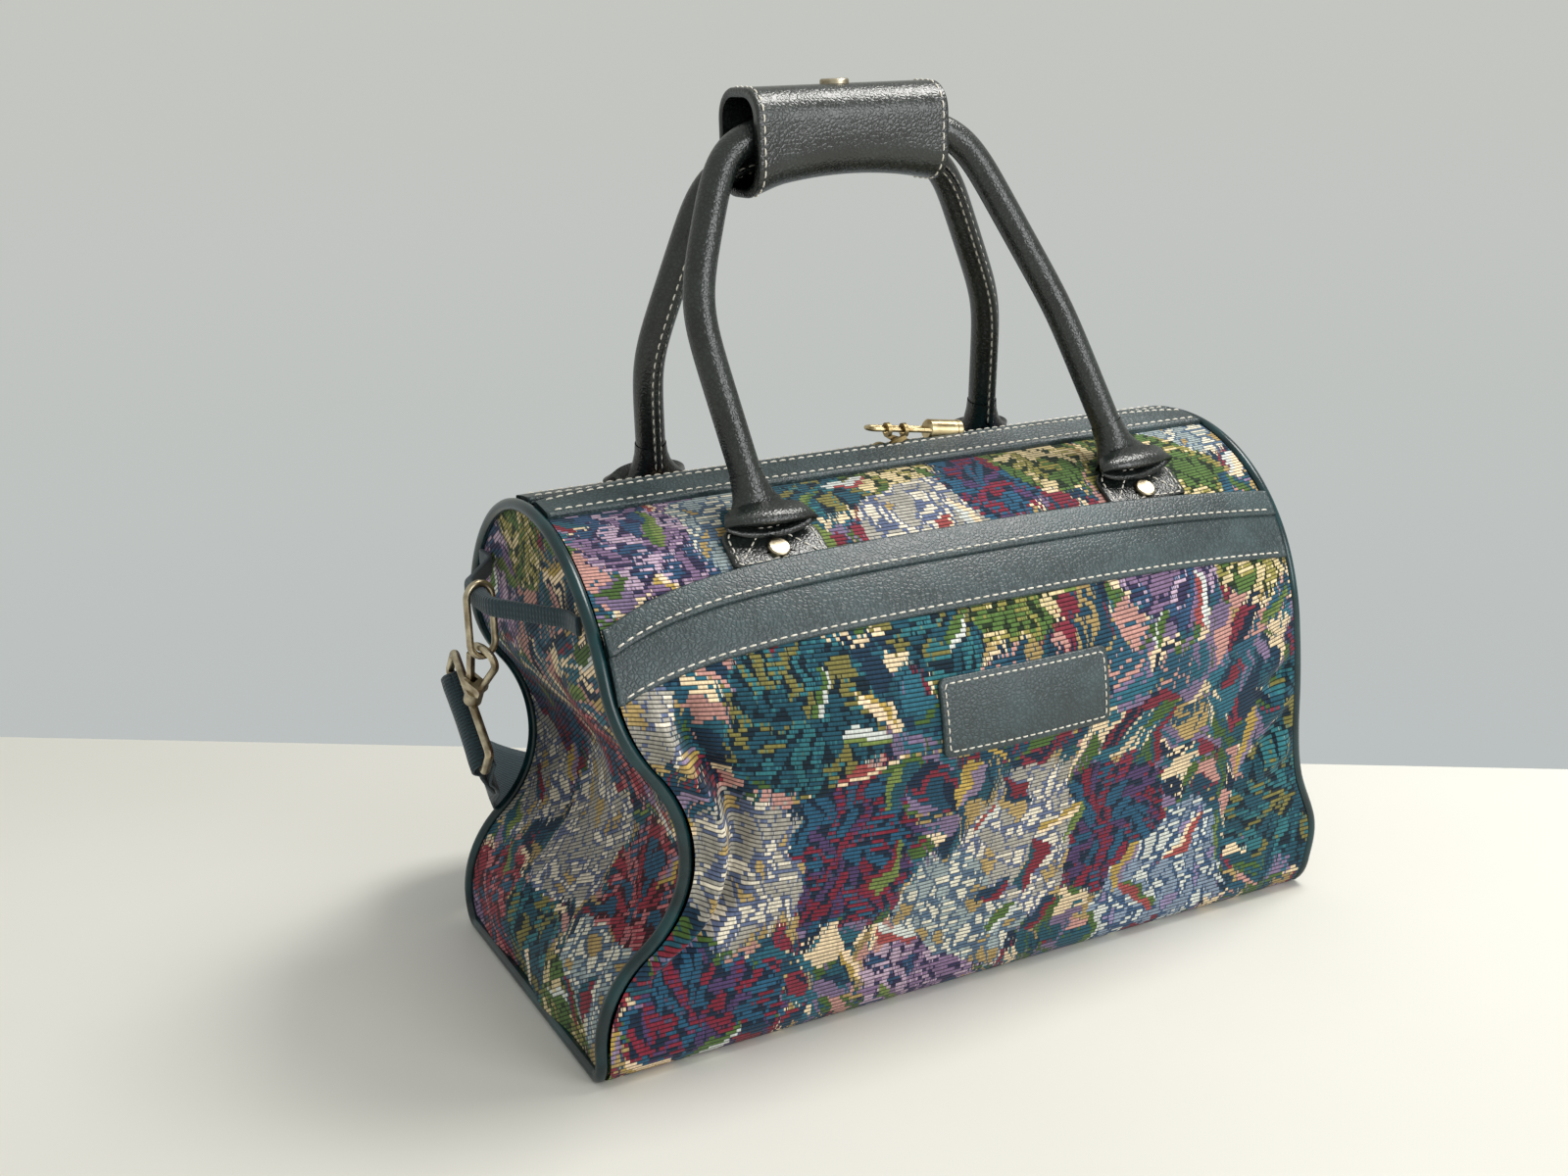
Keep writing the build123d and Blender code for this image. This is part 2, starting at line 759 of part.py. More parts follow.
# Snap hook: it hangs from the ring and leans back along the pull of the strap
ring_bottom = Vector(-keeper_bow_x, 0, keeper_z - ring_straight - ring_half_width)
clip_down = Vector(0, sin(radians(clip_tilt)), -cos(radians(clip_tilt)))
clip_across = Vector(0, cos(radians(clip_tilt)), sin(radians(clip_tilt)))
hook_across = Vector(cos(radians(hook_turn)), -sin(radians(hook_turn)), 0)
hook_across = (hook_across - clip_down * hook_across.dot(clip_down)).normalized()
hook_normal = hook_across.cross(clip_down)
hook_plane = Plane(origin=ring_bottom, x_dir=hook_across, z_dir=hook_normal)
neck_plane = Plane(origin=ring_bottom + clip_down * neck_top, x_dir=hook_across, z_dir=clip_down)

spine_turn = atan2(hook_taper, hook_neck_half) - acos(hook_bow / sqrt(hook_taper**2 + hook_neck_half**2))
spine_top = (hook_bow * cos(spine_turn), hook_bow_drop + hook_bow * sin(spine_turn))

with BuildPart() as left_hook:
    with BuildLine(hook_plane) as hook_route:
        Line((hook_neck_half, hook_bow_drop + hook_taper), spine_top)
        ThreePointArc(spine_top, (0, hook_bow_drop - hook_bow), (-hook_bow, hook_bow_drop))
    with BuildSketch(Plane(origin=hook_route.line @ 0, z_dir=hook_route.line % 0)):
        Circle(hook_wire)
    sweep()
    with BuildSketch(hook_plane):
        with Locations(((shoulder_right - shoulder_left) / 2, (shoulder_top + neck_top) / 2)):
            RectangleRounded(shoulder_left + shoulder_right, neck_top - shoulder_top, hook_wire)
    extrude(amount=shoulder_thickness / 2, both=True)
    with BuildSketch(neck_plane):
        Circle(neck_radius)
    extrude(amount=neck_length)
    with BuildSketch(neck_plane.offset(neck_length)):
        Circle(post_radius + post_clearance)
    extrude(amount=-neck_length, mode=Mode.SUBTRACT)
    with BuildSketch(hook_plane):
        with Locations((-gate_pivot_across, gate_pivot_along - gate_width)):
            Rectangle(2 * gate_width, 2 * gate_width + 2 * gate_slot_gap + gate_width)
    extrude(amount=gate_thickness / 2 + gate_slot_gap, both=True, mode=Mode.SUBTRACT)
    with BuildSketch(hook_plane):
        with Locations((-gate_pivot_across, gate_pivot_along)):
            Circle(gate_pin_radius + pin_clearance)
    extrude(amount=shoulder_thickness, both=True, mode=Mode.SUBTRACT)
keep(left_hook, "left_hook")
keep(mirrored(left_hook), "right_hook")

# Gate of the hook, with its pin
with BuildPart() as left_gate:
    with BuildSketch(hook_plane):
        with BuildLine():
            Line(
                (-gate_pivot_across, gate_pivot_along),
                (-gate_tip_across, gate_tip_along + gate_width / 2),
            )
        trace(line_width=gate_width)
        with Locations((-gate_pivot_across, gate_pivot_along)):
            Circle(gate_width / 2)
    extrude(amount=gate_thickness / 2, both=True)
    with BuildSketch(hook_plane):
        with Locations((-gate_pivot_across, gate_pivot_along)):
            Circle(gate_pin_radius)
    extrude(amount=shoulder_thickness / 2, both=True)
keep(left_gate, "left_gate")
keep(mirrored(left_gate), "right_gate")

# Strap loop with its swivel post
loop_top = neck_top + neck_length + eye_clearance + loop_wire
strap_plane = Plane(origin=(0, ring_bottom.Y, ring_bottom.Z), x_dir=(1, 0, 0), z_dir=clip_across)
loop_plane = Plane(
    origin=ring_bottom + clip_down * (loop_top + loop_depth / 2), x_dir=clip_across, z_dir=(-1, 0, 0)
)


def wire_frame(plane, half_width, half_depth, corner, wire):
    """A closed frame of round wire with rounded corners."""
    with BuildPart() as frame:
        with BuildSketch(plane, mode=Mode.PRIVATE) as outline:
            RectangleRounded(2 * half_width, 2 * half_depth, corner)
        route = outline.sketch.face().outer_wire()
        with BuildSketch(Plane(origin=route @ 0, z_dir=route % 0)):
            Circle(wire)
        sweep(path=route)
    return frame


with BuildPart() as left_strap_loop:
    add(wire_frame(loop_plane, loop_half_width, loop_depth / 2, loop_corner, loop_wire).part)
    with BuildSketch(Plane(origin=ring_bottom + clip_down * loop_top, x_dir=clip_across, z_dir=-clip_down)):
        Circle(post_radius)
    extrude(amount=loop_top - post_top)
keep(left_strap_loop, "left_strap_loop")
keep(mirrored(left_strap_loop), "right_strap_loop")

# Strap: down from the loop, round behind the bag, to the slide
fold_along = loop_top + loop_depth
slide_drop = (loop_half_width + loop_wire) * sin(radians(clip_tilt)) + loop_wire * cos(radians(clip_tilt))
run_along = (ring_bottom.Z - slide_drop - floor_gap) / cos(radians(clip_tilt))
fold_inner = loop_wire + eye_clearance
fold_outer = fold_inner + strap_thickness
strap_start_x = -keeper_bow_x
strap_end_x = -slide_half_length - fold_inner - strap_thickness / 2
strap_start = fold_along + fold_inner + strap_thickness / 2
with BuildPart() as strap_eyes:
    with BuildSketch(strap_plane):
        with Locations((strap_start_x, fold_along), (-slide_half_length, run_along)):
            Circle(fold_outer)
            Circle(fold_inner, mode=Mode.SUBTRACT)
    extrude(amount=strap_half_width, both=True)

# The left strap swings in below the clip and round the rear corner; each share is run, drop and sidestep
strap_spots = [Vector(strap_start_x, strap_start)]
for run_share, drop_share, side_share in strap_route_shares:
    spot_x = strap_start_x + run_share * (strap_end_x - strap_start_x)
    spot_along = strap_start + drop_share * (run_along - strap_start)
    strap_spots.append(Vector(spot_x, spot_along, side_share * strap_half_width))
strap_spots.append(Vector(strap_end_x, run_along))
strap_places = [strap_plane.from_local_coords(spot) for spot in strap_spots]
strap_headings = [clip_down]
for before, after in zip(strap_places, strap_places[2:]):
    strap_headings.append((after - before).normalized())
strap_headings.append(Vector(1, 0, 0))
with BuildPart() as strap_left:
    for place, heading in zip(strap_places, strap_headings):
        width_way = clip_across - heading * clip_across.dot(heading)
        with BuildSketch(Plane(origin=place, x_dir=width_way.normalized(), z_dir=heading)):
            Rectangle(2 * strap_half_width, strap_thickness)
    loft(ruled=True)
    add(strap_eyes.part)
keep(strap_left, "strap_left")

# The right strap hangs straight and turns on the table
with BuildPart() as strap_right:
    with BuildSketch(strap_plane):
        with BuildLine():
            FilletPolyline(
                (strap_start_x, strap_start),
                (strap_start_x, run_along),
                (strap_end_x, run_along),
                radius=strap_bend,
            )
        trace(line_width=strap_thickness)
    extrude(amount=strap_half_width, both=True)
    add(strap_eyes.part)
keep(mirrored(strap_right), "strap_right")

slide_plane = Plane(
    origin=strap_plane.from_local_coords(Vector(0, run_along)), x_dir=clip_across, z_dir=clip_down
)
with BuildPart() as strap_slide:
    add(wire_frame(slide_plane, loop_half_width, slide_half_length, loop_corner, loop_wire).part)
    with BuildSketch(Plane(origin=slide_plane.origin, x_dir=(1, 0, 0), z_dir=clip_across)):
        Circle(loop_wire)
    extrude(amount=loop_half_width, both=True)
keep(strap_slide, "strap_slide")
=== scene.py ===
"""Tapestry travel bag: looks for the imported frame. Lengths are in millimetres until a mesh is made."""
from math import acos, cos, pi, radians, sin, sqrt

import bpy
import numpy as np
from mathutils import Matrix, Vector


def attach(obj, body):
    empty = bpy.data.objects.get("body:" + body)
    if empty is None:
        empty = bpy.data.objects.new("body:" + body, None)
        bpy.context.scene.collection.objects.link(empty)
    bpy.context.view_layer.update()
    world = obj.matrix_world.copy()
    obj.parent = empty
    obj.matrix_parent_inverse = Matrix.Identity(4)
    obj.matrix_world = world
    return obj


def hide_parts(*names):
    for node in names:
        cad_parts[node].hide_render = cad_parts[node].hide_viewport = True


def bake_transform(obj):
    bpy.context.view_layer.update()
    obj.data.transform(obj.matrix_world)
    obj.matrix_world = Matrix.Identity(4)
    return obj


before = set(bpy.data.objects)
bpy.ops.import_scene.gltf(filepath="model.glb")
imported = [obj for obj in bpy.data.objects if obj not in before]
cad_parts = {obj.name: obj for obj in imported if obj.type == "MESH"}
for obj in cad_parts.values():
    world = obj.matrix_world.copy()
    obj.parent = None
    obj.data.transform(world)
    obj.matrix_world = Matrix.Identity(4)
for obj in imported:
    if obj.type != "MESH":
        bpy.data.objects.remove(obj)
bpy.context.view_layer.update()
MM = 0.001
UV_PER_MM = 0.01
ENDS = (("left", -1), ("right", 1))
MIRROR_X = np.array([-1, 1, 1])
MIRROR_Y = np.array([1, -1, 1])

# Body, as in the part's source
bag_height = 233.0
base_half_depth = 90.0
mid_half_depth = 108.0
end_half_depth = 90.5
base_corner = 14.0
flat_half = base_half_depth - base_corner
base_half_length = 192.0
waist_half_length = {-1: 151.0, 1: 183.0}
shoulder_half_length = 178.0
bulge_height = 16.0
waist_height = 99.0
shoulder_height = 177.0
piping_depth = 4.0
band_low = 182.0
band_mouth = 203.0
band_top = 210.0

# The right end's sagging foot
sag = 6.5
sag_height = 33.0
sag_spread = 19.0


# Small tools
def srgb(hexcode):
    """A linear colour from a hex code."""
    values = [int(hexcode[i : i + 2], 16) / 255 for i in (0, 2, 4)]
    return tuple(v / 12.92 if v <= 0.04045 else ((v + 0.055) / 1.055) ** 2.4 for v in values) + (1.0,)


def smoothstep(low, high, x):
    """0 up to one place and 1 from another, with a smooth way between."""
    share = np.clip((x - low) / (high - low), 0, 1)
    return share * share * (3 - 2 * share)


def between(span, x):
    """1 inside a span that starts, is whole, starts to fade and ends at four places."""
    start, whole, fade, end = span
    return smoothstep(start, whole, x) * smoothstep(end, fade, x)


def hump(x, centre, width):
    """A bell that is 1 at its centre."""
    return np.exp(-(((x - centre) / width) ** 2))


def unit(v):
    v = np.asarray(v, float)
    return v / np.maximum(np.linalg.norm(v, axis=-1, keepdims=True), 1e-9)


def place_object(name, data):
    """A new object in the scene."""
    placed = bpy.data.objects.new(name, data)
    bpy.context.scene.collection.objects.link(placed)
    return placed


def make(name, verts, faces, mat, slot, *nodes, uv=None, body="bag"):
    """A mesh piece from millimetre points that rides on a body, or is left with no body."""
    mesh = bpy.data.meshes.new(name)
    mesh.from_pydata((np.reshape(verts, (-1, 3)) * MM).tolist(), [], faces)
    mesh.validate()
    if uv is not None:
        layer = mesh.uv_layers.new(name="UVMap")
        index = np.empty(len(mesh.loops), int)
        mesh.loops.foreach_get("vertex_index", index)
        layer.data.foreach_set("uv", (np.reshape(uv, (-1, 2)) * UV_PER_MM)[index].ravel())
    mesh.polygons.foreach_set("use_smooth", [True] * len(mesh.polygons))
    mesh.materials.append(mat)
    mesh.update()
    piece = place_object(name, mesh)
    if body:
        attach(piece, body)
    if nodes:
        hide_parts(*nodes)
    return piece


def grid_faces(rows, cols, wrap_rows=False, wrap_cols=False):
    """Faces of a grid of points that are listed row by row."""
    faces = []
    for i in range(rows if wrap_rows else rows - 1):
        for j in range(cols if wrap_cols else cols - 1):
            row, next_row = i * cols, (i + 1) % rows * cols
            next_j = (j + 1) % cols
            faces.append((row + j, row + next_j, next_row + next_j, next_row + j))
    return faces


def tube_faces(rings, count, close_first=True):
    """Faces of a tube of rings, closed at its last ring and, unless told otherwise, its first."""
    faces = grid_faces(rings, count, wrap_cols=True)
    if close_first:
        faces.append(tuple(range(count))[::-1])
    last = (rings - 1) * count
    faces.append(tuple(range(last, last + count)))
    return faces


def tube(rings, close_first=True):
    """Verts and faces of a tube."""
    return np.concatenate(rings), tube_faces(len(rings), len(rings[0]), close_first)


def full_turn(count):
    """Angles all the way round."""
    return np.linspace(0, 2 * pi, count, endpoint=False)


def flipped(faces):
    return [face[::-1] for face in faces]


def shifted(faces, start):
    """Faces whose points come after others in a mesh."""
    return [tuple(i + start for i in face) for face in faces]


def tangents(path):
    return unit(np.gradient(path, axis=0))


def distances(path):
    """The distance along a path at each of its points."""
    return np.concatenate([[0], np.cumsum(np.linalg.norm(np.diff(path, axis=0), axis=1))])


def at_distance(at, run, data):
    """Data along a path, at a distance along it."""
    return np.array([np.interp(at, run, column) for column in data.T])


def even_path(points, count, closed=False):
    """Points at even steps along a polygon."""
    points = np.asarray(points, float)
    if closed:
        points = np.concatenate([points, points[:1]])
    run = distances(points)
    at = np.linspace(0, run[-1], count, endpoint=not closed)
    return at_distance(at, run, points).T


def smooth_path(points, count, rounds):
    """A smooth curve near a polygon, by corner cutting, at even steps."""
    p = np.asarray(points, float)
    for _ in range(rounds):
        cut = np.stack([0.75 * p[:-1] + 0.25 * p[1:], 0.25 * p[:-1] + 0.75 * p[1:]], 1)
        p = np.concatenate([p[:1], cut.reshape(-1, p.shape[1]), p[-1:]])
    return even_path(p, count)


def relax(path, rounds):
    """Smooths a path, with its ends kept."""
    p = np.array(path)
    for _ in range(rounds):
        p[1:-1] = 0.5 * p[1:-1] + 0.25 * (p[:-2] + p[2:])
    return p


def round_corners(points, radii, steps=10):
    """A polygon whose corners are arcs of the given radii."""
    out = [points[0]]
    for before, corner, after, radius in zip(points[:-2], points[1:-1], points[2:], radii):
        back, ahead = unit(before - corner), unit(after - corner)
        half = acos(float(np.clip(np.dot(back, ahead), -1, 1))) / 2
        reach = radius / np.tan(half)
        centre = corner + unit(back + ahead) * (radius / sin(half))
        start = corner + back * reach - centre
        end = corner + ahead * reach - centre
        turn = pi - 2 * half
        for share in np.linspace(0, 1, steps + 1):
            out.append(centre + (start * sin((1 - share) * turn) + end * sin(share * turn)) / sin(turn))
    out.append(points[-1])
    return np.array(out)


def rounded_box(middle, half, radii, steps, count):
    """Even points round a box, with a radius for each corner from the one at +, + onwards."""
    points = []
    for i, signs in enumerate(((1, 1), (-1, 1), (-1, -1), (1, -1))):
        corner = [m + sign * (h - radii[i]) for m, sign, h in zip(middle, signs, half)]
        for turn in np.radians(np.linspace(90 * i, 90 * i + 90, steps)):
            points.append((corner[0] + radii[i] * cos(turn), corner[1] + radii[i] * sin(turn)))
    return even_path(points, count, True)


def frames_along(path, first_side, closed=False):
    """Two side vectors along a path, with no twist."""
    if closed:
        tangent = unit(np.roll(path, -1, 0) - np.roll(path, 1, 0))
    else:
        tangent = tangents(path)
    side = np.zeros_like(path)
    carried = np.asarray(first_side, float)
    for i, ahead in enumerate(tangent):
        carried = carried - ahead * np.dot(carried, ahead)
        carried = carried / np.linalg.norm(carried)
        side[i] = carried
    return side, np.cross(tangent, side)


def sweep(path, profile, first_side, closed=False):
    """Verts and faces of a profile swept along a path, with the ends of an open path closed."""
    sides, others = frames_along(path, first_side, closed)
    across, up = profile[:, :1], profile[:, 1:]
    rings = [place + (across * side + up * other) for place, side, other in zip(path, sides, others)]
    if closed:
        return np.concatenate(rings), grid_faces(len(path), len(profile), True, True)
    return tube(rings)


# Shape of the stuffed bag
def half_depth(x):
    """Half depth of the bag's arch at a place along it."""
    share = np.asarray(x, float) / shoulder_half_length
    return mid_half_depth - (mid_half_depth - end_half_depth) * share**2


def s_curve(z, z0, z1, x0, x1):
    """Two equal arcs from upright to upright."""
    a, b = (x1 - x0) / 2, (z1 - z0) / 2
    r = (a * a + b * b) / (2 * abs(a))
    way = np.sign(a)
    first = x0 + way * (r - np.sqrt(np.maximum(r * r - (z - z0) ** 2, 0)))
    second = x1 - way * (r - np.sqrt(np.maximum(r * r - (z1 - z) ** 2, 0)))
    return np.where(z < z0 + b, first, second)


def end_x(z, side):
    """Half length at a height: both ends cave in at the waist, and the right one sags at its foot."""
    z = np.asarray(z, float)
    waist = waist_half_length[side]
    below = np.clip(z, bulge_height, waist_height)
    above = np.clip(z, waist_height, shoulder_height)
    low = s_curve(below, bulge_height, waist_height, base_half_length, waist)
    high = s_curve(above, waist_height, shoulder_height, waist, shoulder_half_length)
    extra = sag * hump(z, sag_height, sag_spread) if side > 0 else 0.0
    return np.where(z < waist_height, low, high) + extra


# Distances round the front half of the section, from the base's middle: base, corner, wall and arch
wall_run = 112.0
arch_radius = 100.0
RUNS = (flat_half, base_corner * pi / 2, wall_run, arch_radius * pi / 2)
RUN_ENDS = np.cumsum((0,) + RUNS)


def section(x, s, off=0.0):
    """Points and normals of the front half of the section at x and a distance s round it, raised by off."""
    x, s = np.broadcast_arrays(np.asarray(x, float), np.asarray(s, float))
    depth = half_depth(x)
    centre = bag_height - depth
    share = [np.clip((s - start) / run, 0, 1) for start, run in zip(RUN_ENDS, RUNS)]
    corner, arch = share[1] * pi / 2, share[3] * pi / 2
    slope = (depth - base_half_depth) / (centre - base_corner)
    norm = np.sqrt(1 + slope * slope)
    part = np.searchsorted(RUN_ENDS[1:4], s)
    flat = np.zeros_like(s)
    wall_y = -(base_half_depth + (depth - base_half_depth) * share[2])
    wall_z = base_corner + (centre - base_corner) * share[2]
    corner_y = -flat_half - base_corner * np.sin(corner)
    corner_z = base_corner - base_corner * np.cos(corner)
    y = np.choose(part, (-flat_half * share[0], corner_y, wall_y, -depth * np.cos(arch)))
    z = np.choose(part, (flat, corner_z, wall_z, centre + depth * np.sin(arch)))
    ny = np.choose(part, (flat, -np.sin(corner), -1 / norm, -np.cos(arch)))
    nz = np.choose(part, (flat - 1, -np.cos(corner), -slope / norm, np.sin(arch)))
    return np.stack([x, y + ny * off, z + nz * off], -1), np.stack([flat, ny, nz], -1)


def s_at_height(x, z):
    """Distance round the section of a height on the front wall or the arch."""
    depth = half_depth(x)
    centre = bag_height - depth
    wall = RUN_ENDS[2] + RUNS[2] * (z - base_corner) / (centre - base_corner)
    arch = RUN_ENDS[3] + RUNS[3] * np.arcsin(np.clip((z - centre) / depth, 0, 1)) / (pi / 2)
    return np.where(z <= centre, wall, arch)


def s_at_y(x, y):
    """Distance round the section of a place on the arch, from its distance to the middle."""
    return RUN_ENDS[3] + RUNS[3] * np.arccos(np.clip(abs(y) / half_depth(x), 0, 1)) / (pi / 2)


def half_width(x, z):
    """Half depth of the section at x and a height."""
    depth = half_depth(x)
    centre = bag_height - depth
    low = flat_half + np.sqrt(np.maximum(base_corner**2 - (base_corner - z) ** 2, 0))
    wall = base_half_depth + (depth - base_half_depth) * (z - base_corner) / (centre - base_corner)
    arch = np.sqrt(np.maximum(depth * depth - (z - centre) ** 2, 0))
    return np.where(z < base_corner, low, np.where(z < centre, wall, arch))


# Materials
def math_operator(operation, swapped=False):
    """A method that adds a Math node for a value and another."""

    def apply(self, other):
        return self.nodes.calc(operation, *((other, self) if swapped else (self, other)))

    return apply


class Value:
    """An output in a node tree, whose sums and comparisons are Math nodes."""

    def __init__(self, nodes, socket):
        self.nodes = nodes
        self.socket = socket

    __add__ = math_operator("ADD")
    __sub__ = math_operator("SUBTRACT")
    __rsub__ = math_operator("SUBTRACT", True)
    __mul__ = math_operator("MULTIPLY")
    __truediv__ = math_operator("DIVIDE")
    __lt__ = math_operator("LESS_THAN")
    __gt__ = math_operator("GREATER_THAN")


class Nodes:
    """The node tree of a material or a world, with short ways to add to it."""

    def __init__(self, owner):
        owner.use_nodes = True
        self.owner = owner
        self.tree = owner.node_tree

    def put(self, socket, value):
        """Links a value to an input, or sets a constant on it."""
        if isinstance(value, Value):
            self.tree.links.new(value.socket, socket)
        else:
            socket.default_value = value

    def add(self, kind, settings=(), inputs=()):
        """A new node with its settings, and with inputs by place or name."""
        node = self.tree.nodes.new(kind)
        for key, value in dict(settings).items():
            setattr(node, key, value)
        for key, value in dict(inputs).items():
            self.put(node.inputs[key], value)
        return node

    def value(self, kind, settings=(), inputs=(), out=0):
        """One output of a new node."""
        return Value(self, self.add(kind, settings, inputs).outputs[out])

    def calc(self, operation, a, b=0.0, c=0.0):
        return self.value("ShaderNodeMath", {"operation": operation}, {0: a, 1: b, 2: c})

    def vector(self, operation, a, b=(0, 0, 0)):
        """A Vector Math node, where SCALE takes its scale as b."""
        second = "Scale" if operation == "SCALE" else 1
        out = "Value" if operation == "LENGTH" else "Vector"
        return self.value("ShaderNodeVectorMath", {"operation": operation}, {0: a, second: b}, out)

    def mix(self, factor, a, b):
        return self.value("ShaderNodeMix", {"data_type": "RGBA"}, {0: factor, 6: a, 7: b}, 2)

    def ramp(self, factor, stops, how="LINEAR"):
        """A colour ramp with stops of place and hex code."""
        node = self.add("ShaderNodeValToRGB", inputs={0: factor})
        node.color_ramp.interpolation = how
        elements = node.color_ramp.elements
        while len(elements) < len(stops):
            elements.new(1.0)
        for element, (place, colour) in zip(elements, stops):
            element.position = place
            element.color = srgb(colour)
        return Value(self, node.outputs[0])

    def spread(self, value, low, high, to_low=0.0, to_high=1.0):
        inputs = {"Value": value, "From Min": low, "From Max": high, "To Min": to_low, "To Max": to_high}
        return self.value("ShaderNodeMapRange", inputs=inputs)

    def noise(self, place, scale, detail, out=0, dimensions="3D", rough=0.5):
        inputs = {"Vector": place, "Scale": scale, "Detail": detail, "Roughness": rough}
        return self.value("ShaderNodeTexNoise", {"noise_dimensions": dimensions}, inputs, out)

    def split(self, vector):
        return [Value(self, out) for out in self.add("ShaderNodeSeparateXYZ", inputs={0: vector}).outputs]

    def join(self, x, y):
        return self.value("ShaderNodeCombineXYZ", inputs={0: x, 1: y})

    def object_place(self):
        return self.value("ShaderNodeTexCoord", out="Object")

    def cloth_place(self):
        """Distances on the cloth, in millimetres, from the piece's UV map."""
        uv = self.value("ShaderNodeUVMap", {"uv_map": "UVMap"})
        return self.vector("MULTIPLY", uv, (1 / UV_PER_MM, 1 / UV_PER_MM, 0))

    def surface(self, height, strength, distance, **sockets):
        """The material, with the shader's inputs set and a bump from a height."""
        bump = {"Strength": strength, "Distance": distance, "Height": height}
        sockets["Normal"] = self.value("ShaderNodeBump", inputs=bump)
        for name, value in sockets.items():
            self.put(self.tree.nodes["Principled BSDF"].inputs[name.replace("_", " ")], value)
        return self.owner


def new_material(name):
    return Nodes(bpy.data.materials.new(name))


# Weave: colours of each kind of bloom, of the ground between and of the leaves, and sizes
PALETTES = (
    ("93a0a0", "d6d1bd", "53687d", "a58d5c"),
    ("14263a", "25546f", "7a2436", "4b3a60"),
    ("3c1420", "8a2f3c", "b4686a", "26506a"),
    ("1f2f1c", "4f6a35", "8c8546", "d2bf92"),
    ("a39f94", "ddd4c0", "5f6a86", "b39a66"),
    ("8292a4", "ced2ca", "3b5574", "9084a6"),
    ("2f2c4a", "7d6684", "b39cae", "2c4a68"),
    ("0f2430", "1f4b5a", "2f6b72", "76703e"),
)
GROUND = (
    "1b3448", "24505e", "46602f", "7a6a86", "2b6070", "dcc6a2",
    "16283c", "7a2c3a", "1f4458", "a58d5c", "2a5468", "b98a80",
)
LEAVES = ("1d394e", "ecd2ae", "4f6a35", "7a2a36", "b0954f", "c9cdc6", "24505e", "8a7a92", "9a4a48", "6f8044")
RIB_PITCH = 1.85
DRIFT = 24.0
BLOOM_CELL = 70.0
BLOOM_RADIUS = 26.0
BLOOM_VARIES = 14.0
PETAL_LENGTH = 11.0
PETALS_PER_RING = 8.0
STROKE_LENGTH = 12.5
STROKES_PER_RADIAN = 4.6
FLORET_CELL = 7.0
FLORET_MARGIN = 4.0
LEAF_CELL = 24.0
LEAF_HALF_LENGTH = 14.0
LEAF_HALF_WIDTH = 3.6
LEAF_OFFSET = (311, 97, 0)


